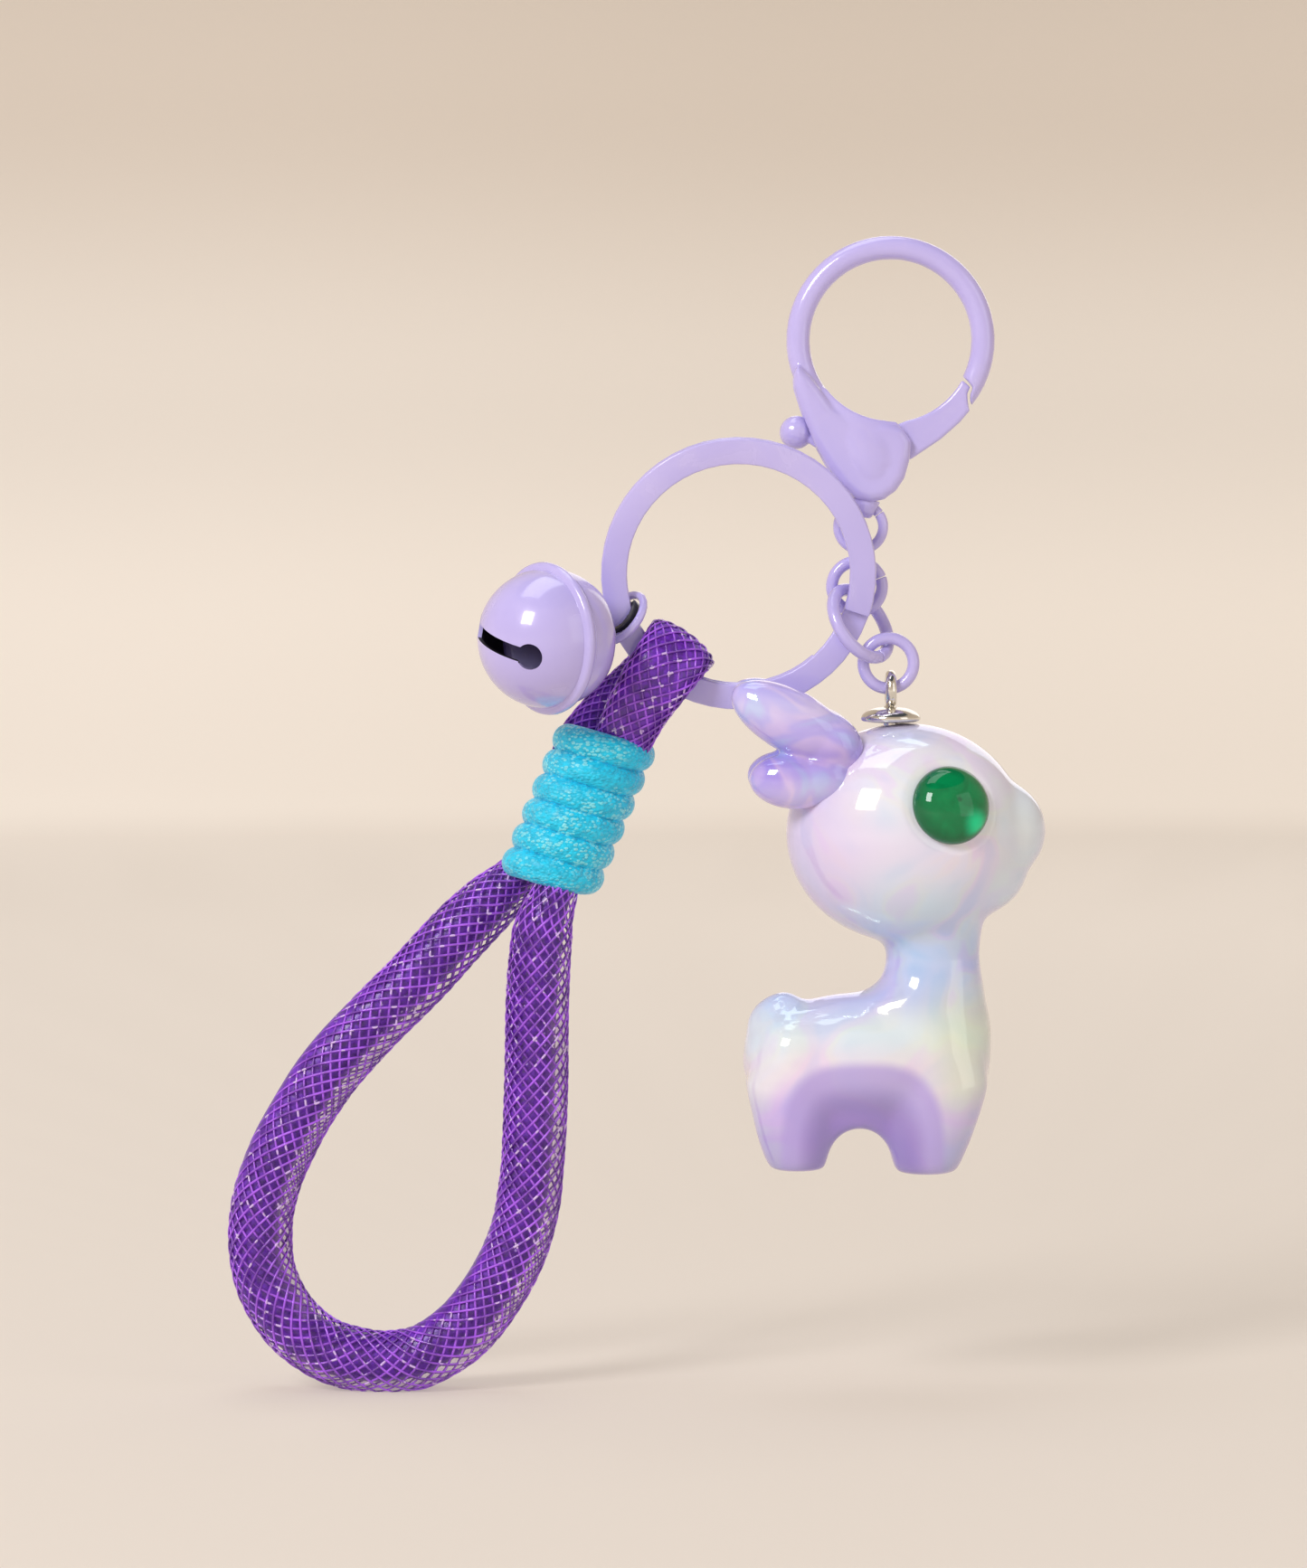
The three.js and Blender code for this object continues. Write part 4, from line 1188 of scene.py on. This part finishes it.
# ---- metal fittings ----------------------------------------------------------------------------------------
class KEYCHAIN_OT_clasp(bpy.types.Operator):
    """Make the clasp's body, gate lever and swivel from the CAD solids"""

    bl_idname = "keychain.clasp"
    bl_label = "Lobster clasp"

    def execute(self, context):
        hook = worked_copy("clasp_body", "clasp_hook")
        cheek = [
            (-10.7, -12.2), (-9.4, -13.4), (-8.1, -15.1), (-6.7, -17.1), (-4.7, -18.4), (-2.8, -18.7),
            (-0.5, -18.8), (1.4, -19.5), (2.4, -21.0), (2.2, -23.0), (1.6, -25.2), (0.6, -26.7),
            (-0.8, -27.7), (-2.4, -28.0), (-4.0, -27.6), (-5.7, -26.2), (-7.4, -23.9), (-9.0, -21.0),
            (-10.3, -17.7), (-11.2, -14.9), (-11.3, -13.2),
        ]
        web = [(-6.9, -24.6), (1.1, -24.9), (-0.3, -27.0), (-1.9, -27.7), (-3.8, -27.4), (-5.7, -26.0)]
        layers = [(1.35, 0), (1.9, 0), (2.35, 0.35), (2.65, 0.95)]
        swells = [plate(cheek, [(side * y, inset) for y, inset in layers]) for side in (-1, 1)]
        swells.append(plate(web, [(-1.5, 0), (1.5, 0)]))
        hook = blended(joined("clasp_hook", hook, *swells), 0.00016, 16)
        hand_over(hook, "clasp", ["clasp_body"], [material("enamel")])
        for node, name, body, voxel, passes in (
            ("gate_lever", "clasp_gate", "gate", 0.00013, 5),
            ("swivel_stud", "clasp_swivel_stud", "swivel", 0.0001, 4),
        ):
            piece = blended(worked_copy(node, name), voxel, passes)
            hand_over(piece, body, [node], [material("enamel")])
        for node in ("gate_pin", "gate_spring"):
            dress(node, material("steel"))
        return {"FINISHED"}


def turned(spot, middle):
    """The angle round Z from a middle angle to a spot, between minus and plus half a turn."""
    return (math.atan2(spot.y, spot.x) - middle + math.pi) % (2 * math.pi) - math.pi


def wire_ring(name, radius, wire, matrix, at_degrees, gap_degrees=0.8):
    """A ring of bent wire, closed up at a fine butt cut: matrix turns it from the XY plane to its place."""
    bpy.ops.mesh.primitive_torus_add(
        major_segments=96, minor_segments=20, major_radius=radius, minor_radius=wire, location=(0, 0, 0)
    )
    ring = added(name)
    middle = math.radians(at_degrees)
    select_parts(
        ring, "FACE", lambda face: abs(turned(face.calc_center_median(), middle)) < math.radians(2.0)
    )
    bpy.ops.mesh.delete(type="FACE")
    bpy.ops.object.mode_set(mode="OBJECT")
    fill_open_edges(ring)
    close = math.radians(1.9 - gap_degrees)
    for vert in ring.data.vertices:
        turn = turned(vert.co, middle)
        if abs(turn) < math.radians(5):
            shift = -math.copysign(close, turn) * (
                1 - max(0, abs(turn) - math.radians(2.2)) / math.radians(2.8)
            )
            vert.co = Matrix.Rotation(shift, 3, "Z") @ vert.co
    modify(ring, "BEVEL", width=wire * 0.14, segments=2, limit_method="ANGLE", angle_limit=math.radians(50))
    return place(ring, matrix)


class KEYCHAIN_OT_chain(bpy.types.Operator):
    """Make the swivel ring, the chain links, the jump ring and the charm's ring"""

    bl_idname = "keychain.chain"
    bl_label = "Chain"

    def execute(self, context):
        flat = Matrix.Rotation(math.pi / 2, 4, "X")
        tilt = math.radians(9)
        eye_z = -19.2 - 2.6
        swivel = Vector((eye_z * math.sin(tilt), 0, -9.3 + eye_z * math.cos(tilt))) * MM
        down, back = Vector((0.579, 0, -0.815)).normalized(), Vector((0.448, 0.835, 0.318)).normalized()
        slant = Matrix((down, back, down.cross(back))).transposed().to_4x4()
        edge_on = Matrix.Rotation(math.pi / 2, 4, "Y") @ Matrix.Diagonal((2.26 / 1.8, 1, 1, 1))
        rings = (
            ("swivel_link", "swivel_ring", "swivel", 2.6, 0.6, Matrix.Translation(swivel) @ flat, 35),
            ("upper_link", "chain_link_upper", "link_upper", 1.8, 0.57,
             self.at(-3.72, -0.2, -34.15) @ edge_on, 100),
            ("lower_link", "chain_link_lower", "link_lower", 2.9, 0.7,
             self.at(-3.83, -0.2, -37.74) @ flat, 20),
            ("slanted_jump_ring", "jump_ring", "jump", 4.43, 0.75, self.at(-3.48, -2.2, -42.0) @ slant, -14),
            ("charm_link", "charm_ring", "charm_link", 2.9, 0.7, self.at(-0.26, -2.2, -46.58) @ flat, 150),
        )
        for name, node, body, radius, wire, matrix, cut in rings:
            ring = wire_ring(name, radius * MM, wire * MM, matrix, cut)
            hand_over(ring, body, [node], [material("enamel")], angle=45)
        return {"FINISHED"}

    @staticmethod
    def at(x, y, z):
        return Matrix.Translation(Vector((x, y, z)) * MM)


class KEYCHAIN_OT_split_ring(bpy.types.Operator):
    """Make the double-turn split ring, its stamped edges rounded"""

    bl_idname = "keychain.split_ring"
    bl_label = "Split ring"

    def execute(self, context):
        ring = worked_copy("split_ring", "split_ring_coil")
        modify(ring, "BEVEL", width=0.00011, segments=3, limit_method="ANGLE", angle_limit=math.radians(32))
        hand_over(ring, "split", ["split_ring"], [material("enamel")], angle=50)
        return {"FINISHED"}


class KEYCHAIN_OT_bell(bpy.types.Operator):
    """Make the jingle bell: two pressed shells, the keyhole slot, the wire eye and the bead"""

    bl_idname = "keychain.bell"
    bl_label = "Jingle bell"

    def execute(self, context):
        along = (BELL_SLOT - BELL_AXIS * BELL_SLOT.dot(BELL_AXIS)).normalized()
        turn = Matrix((along, BELL_AXIS.cross(along), BELL_AXIS)).transposed().to_4x4()
        matrix = Matrix.Translation(BELL_CENTRE) @ turn
        for name, node, shell in (
            ("bell_front", "bell_front_shell", self.front()),
            ("bell_back", "bell_rear_shell", self.rear()),
        ):
            shell.name = name
            # Faces on the inside of each shell take the near-black painted shade for the bell's hollow.
            inside = 0.0077 if node == "bell_front_shell" else 0.00735
            for face in shell.data.polygons:
                deep = face.center.length < inside and face.normal.dot(face.center) < 0
                face.material_index = 1 if deep else 0
            place(shell, matrix)
            hand_over(
                shell, "bell", [node], [material("enamel"), material("bell_painted_shade")], angle=40
            )
        eye = blended(worked_copy("bell_eye", "bell_wire_eye"), 0.0001, 4)
        hand_over(eye, "bell", ["bell_eye"], [material("enamel")])
        bead = blended(worked_copy("bell_bead", "bell_rubber_bead"), 0.0001, 3)
        hand_over(bead, "bell", ["bell_bead"], [material("rubber")])
        dress("bell_pellet", material("steel"))
        return {"FINISHED"}

    @staticmethod
    def half(radius, low, high):
        bpy.ops.mesh.primitive_uv_sphere_add(segments=72, ring_count=48, radius=radius, location=(0, 0, 0))
        shell = added("bell_half")
        for height, normal in ((low, (0, 0, -1)), (high, (0, 0, 1))):
            if height is None:
                continue
            pick(shell)
            bpy.ops.object.mode_set(mode="EDIT")
            bpy.ops.mesh.select_all(action="SELECT")
            bpy.ops.mesh.bisect(plane_co=(0, 0, height), plane_no=normal, clear_outer=True)
            bpy.ops.object.mode_set(mode="OBJECT")
        return shell

    @staticmethod
    def extend_rim(shell, steps, edge_height):
        """Extrudes the rim at a height through rings of (radius, height)."""
        for radius, height in steps:
            extrude_rim(
                shell, radius, height,
                lambda edge: abs((edge.verts[0].co + edge.verts[1].co).z / 2 - edge_height) < RIM_REACH,
            )
            edge_height = height

    def front(self):
        shell = self.half(BELL_RADIUS, 0.0009, None)
        rim = BELL_RADIUS
        self.extend_rim(
            shell,
            [
                (rim + 0.00012, 0.00078), (rim + 0.00045, 0.00072), (rim + 0.00068, 0.0005),
                (rim + 0.00075, 0.0002),
                (rim + 0.00066, -0.00015), (rim + 0.0004, -0.00036), (rim - 0.0002, -0.0004),
            ],
            0.0009,
        )
        clean(shell)
        modify(shell, "SOLIDIFY", thickness=BELL_SHEET, offset=-1)
        bpy.ops.mesh.primitive_cube_add(size=1, location=(0, 0, 0.0075))
        cutter = added("slot")
        place(cutter, Matrix.Diagonal((2 * BELL_RADIUS * math.sin(SLOT_HALF_ANGLE), 0.0017, 1, 1)))
        for vert in cutter.data.vertices:
            vert.co.z = 0.0035 if vert.co.z < 0.0075 else 0.0115
        carve(shell, cutter)
        for side in (1, -1):
            bpy.ops.mesh.primitive_cylinder_add(
                vertices=48, radius=0.0015, depth=0.006, location=(0, 0, 0.008)
            )
            hole = added("hole")
            place(hole, Matrix.Rotation(side * SLOT_HALF_ANGLE, 4, "Y"))
            carve(shell, hole)
        modify(shell, "BEVEL", width=0.00008, segments=2, limit_method="ANGLE", angle_limit=math.radians(55))
        return shell

    def rear(self):
        shell = self.half(BELL_RADIUS, -0.00787, -0.0009)
        dimple = -BELL_RADIUS * math.cos(math.radians(48))
        select_parts(shell, "FACE", lambda face: face.calc_center_median().z < dimple)
        bpy.ops.transform.resize(value=(0.965, 0.965, 0.985), center_override=(0, 0, 0))
        bpy.ops.object.mode_set(mode="OBJECT")
        self.extend_rim(shell, [(BELL_RADIUS + 0.00022, -0.00078)], -0.0009)
        clean(shell)
        modify(shell, "SOLIDIFY", thickness=BELL_SHEET, offset=-1)
        modify(shell, "BEVEL", width=0.00012, segments=2, limit_method="ANGLE", angle_limit=math.radians(28))
        return shell


# ---- fawn ------------------------------------------------------------------------------------------
# Columns through the neck, a hind leg and a fore leg: (z, x, half-width, half-depth) in millimetres.
NECK = (
    (-73, 4.0, 7.4, 6.8), (-77, 4.8, 5.9, 5.6), (-80.5, 4.95, 5.4, 5.2), (-83, 4.9, 5.9, 5.5),
    (-84.4, 4.1, 6.9, 6.0), (-85.7, 2.9, 8.3, 6.4), (-88, 4.0, 7.8, 6.8), (-92, 4.5, 7.3, 7.2),
    (-96, 4.6, 6.7, 6.8),
)
HIND_LEG = (
    (-89.5, -9.6, 2.5, 1.5), (-91.5, -10.6, 4.8, 3.0), (-95, -11.3, 5.7, 3.8), (-98, -11.2, 5.1, 3.8),
    (-101.5, -11.0, 4.5, 3.6), (-104, -10.85, 3.7, 3.3), (-105.0, -10.8, 3.3, 3.0),
)
FORE_LEG = (
    (-89.5, 4.6, 3.0, 1.5), (-91.5, 5.1, 5.4, 3.0), (-95, 5.3, 6.1, 3.8), (-98.5, 4.8, 5.6, 3.8),
    (-101.8, 4.3, 4.9, 3.6), (-104.3, 4.1, 4.0, 3.3), (-105.4, 4.0, 3.5, 3.0),
)
LEG_SPREAD = 3.6
# The screw cap's outline: (z, radius) in millimetres.
CAP_OUTLINE = (
    (-51.8, 0.95), (-51.65, 1.15), (-51.7, 1.6), (-51.9, 2.3), (-52.15, 2.85), (-52.5, 3.3), (-52.85, 3.5),
    (-53.15, 3.45), (-53.4, 3.1), (-53.5, 0.95),
)


class KEYCHAIN_OT_fawn(bpy.types.Operator):
    """Make the fawn's body and ears, blended smooth, and its screw eye and cap"""

    bl_idname = "keychain.fawn"
    bl_label = "Fawn charm"

    def execute(self, context):
        voxel = context.scene.keychain_charm.voxel
        fawn = self.trunk(voxel)
        hand_over(fawn, "charm", ["charm_body"], [material("pearl")])
        for side, word in ((-1, "right"), (1, "left")):
            lobes = [
                ball((-11.5, -2.2 + side * 5.7, -53.2), (7.8, 3.2, 3.6), 28),
                ball((-7.3, -2.2 + side * 5.3, -55.6), (4.4, 3.1, 3.4), 40),
                ball((-11.4, -2.2 + side * 6.0, -60.0), (5.1, 2.8, 3.2), 4),
                ball((-8.2, -2.2 + side * 6.2, -59.6), (3.6, 2.5, 2.8), 0),
            ]
            ear = blended(joined("fawn_ear_" + word, *lobes), 0.0002, 26)
            hand_over(ear, "charm", ["ear_" + word], [material("pearl_lilac")])
        self.screw_eye()
        return {"FINISHED"}

    @staticmethod
    def trunk(voxel):
        """Head, muzzle, neck, barrel, tail and four legs, melted into one skin."""
        middle = -2.2
        parts = [
            ball((1.8, middle, -66.2), (14.0, 11.8, 12.8)),
            ball((12.0, middle, -65.9), (6.1, 5.6, 6.0)),
            ball((7.8, middle, -70.0), (8.2, 7.6, 6.4)),
            ball((-3.0, middle, -92.9), (14.2, 7.9, 8.3)),
            ball((-10.6, middle, -91.6), (6.5, 7.3, 5.8)),
            ball((-13.5, middle, -87.3), (3.7, 2.9, 2.3), -36),
            tower(NECK, middle),
            tower([(-94, -3.7, 8.0, 6.0), (-104.6, -3.7, 6.0, 6.4)], middle),
        ]
        for side in (-1, 1):
            parts.append(tower(HIND_LEG, middle + side * LEG_SPREAD))
            parts.append(tower(FORE_LEG, middle + side * LEG_SPREAD))
        skin = remeshed(joined("fawn_body", *parts), voxel)
        bpy.ops.mesh.primitive_cylinder_add(
            vertices=64, radius=MM, depth=30 * MM, location=(-3.65 * MM, middle * MM, -104.6 * MM),
            rotation=(math.pi / 2, 0, 0), scale=(3.8, 4.6, 1),
        )
        carve(skin, added("arch"))
        blended(skin, voxel, 80, 0.6)
        for side in (-1, 1):
            seat, out = eye_seat(side)
            for vert in skin.data.vertices:
                along = vert.co / MM - seat
                lift = along.dot(out)
                reach = (along - out * lift).length
                if abs(lift) < 3 and reach < EYE_DISH_RADIUS:
                    share = min(1, (EYE_DISH_RADIUS - reach) / 1.5)
                    vert.co -= out * (EYE_DISH * MM * share * share * (3 - 2 * share))
        return skin

    @staticmethod
    def screw_eye():
        bpy.ops.mesh.primitive_torus_add(
            major_segments=64, minor_segments=24, major_radius=1.7 * MM, minor_radius=0.64 * MM,
            location=(0, -2.2 * MM, -49.7 * MM), rotation=(0, math.pi / 2, 0),
        )
        loop = added("charm_screw_eye")
        stem = tower(
            [(-51.2, 0, 0.5, 0.5), (-51.9, 0, 0.95, 0.95), (-54, 0, 0.8, 0.8), (-60, 0, 0.8, 0.8)], -2.2
        )
        loop = blended(joined("charm_screw_eye", loop, stem), 0.00009, 5)
        hand_over(loop, "charm", ["screw_eye"], [material("nickel")])
        cap = tower([(z, 0, radius, radius) for z, radius in CAP_OUTLINE], -2.2)
        cap.name = "charm_screw_cap"
        modify(cap, "SUBSURF", levels=1, render_levels=1)
        hand_over(cap, "charm", ["screw_cap"], [material("nickel")], angle=50)


class KEYCHAIN_OT_eyes(bpy.types.Operator):
    """Make the fawn's glass eyes as cabochons with a soft rim"""

    bl_idname = "keychain.eyes"
    bl_label = "Glass eyes"

    def execute(self, context):
        for side, word in ((-1, "right"), (1, "left")):
            seat, out = eye_seat(side)
            bpy.ops.mesh.primitive_uv_sphere_add(segments=64, ring_count=40, radius=1, location=(0, 0, 0))
            dome = added("fawn_eye_" + word)
            select_parts(dome, "FACE", lambda face: face.calc_center_median().z < -0.35)
            bpy.ops.transform.resize(value=(0.97, 0.97, 0.8), center_override=(0, 0, -0.35))
            bpy.ops.object.mode_set(mode="OBJECT")
            uv = dome.data.uv_layers.active
            uv.name = "dome"
            right = Vector((1, 0, 0))
            right = (right - out * right.dot(out)).normalized()
            upward = Vector((0, 0, 1))
            upward = (upward - out * upward.dot(out)).normalized()
            right = (right - upward * right.dot(upward)).normalized()
            handed = Matrix((right, upward, out)).transposed()
            if handed.determinant() < 0:
                handed = Matrix((-right, upward, out)).transposed()
            for loop in dome.data.loops:
                spot = dome.data.vertices[loop.vertex_index].co
                sign = 1 if handed.col[0].dot(right) > 0 else -1
                uv.data[loop.index].uv = (0.5 + 0.5 * sign * spot.x, 0.5 + 0.5 * spot.y)
            matrix = Matrix.Translation((seat - out * 0.75) * MM) @ handed.to_4x4()
            place(dome, matrix @ Matrix.Diagonal((4.55 * MM, 4.55 * MM, 2.9 * MM, 1)))
            hand_over(dome, "charm", ["eye_" + word], [material("green_glass")])
        return {"FINISHED"}


# ---- panel, registration and run -------------------------------------------------------------------
OPERATORS = (
    KEYCHAIN_OT_stage,
    KEYCHAIN_OT_strap,
    KEYCHAIN_OT_binding,
    KEYCHAIN_OT_clasp,
    KEYCHAIN_OT_chain,
    KEYCHAIN_OT_split_ring,
    KEYCHAIN_OT_bell,
    KEYCHAIN_OT_fawn,
    KEYCHAIN_OT_eyes,
)


class KEYCHAIN_PT_panel(bpy.types.Panel):
    """The keychain's pieces, in the order that they are made"""

    bl_idname = "KEYCHAIN_PT_panel"
    bl_label = "Fawn Charm Keychain"
    bl_space_type = "VIEW_3D"
    bl_region_type = "UI"
    bl_category = "Keychain"

    def draw(self, context):
        for key in SETTINGS:
            box = self.layout.box()
            group_of = getattr(context.scene, key)
            for prop in group_of.bl_rna.properties:
                if prop.identifier not in {"name", "rna_type"}:
                    box.prop(group_of, prop.identifier)
        for operator in OPERATORS:
            self.layout.operator(operator.bl_idname)


SETTINGS = {
    "keychain_strap": StrapSettings,
    "keychain_metal": MetalSettings,
    "keychain_charm": CharmSettings,
    "keychain_stage": StageSettings,
}


def register():
    for made in (*SETTINGS.values(), *OPERATORS, KEYCHAIN_PT_panel):
        bpy.utils.register_class(made)
    for key, made in SETTINGS.items():
        setattr(bpy.types.Scene, key, PointerProperty(type=made))


def unregister():
    for key in SETTINGS:
        delattr(bpy.types.Scene, key)
    for made in reversed((*SETTINGS.values(), *OPERATORS, KEYCHAIN_PT_panel)):
        bpy.utils.unregister_class(made)


def main():
    register()
    for operator in OPERATORS:
        family, word = operator.bl_idname.split(".")
        getattr(getattr(bpy.ops, family), word)()
    deselect()


if __name__ == "__main__":
    main()
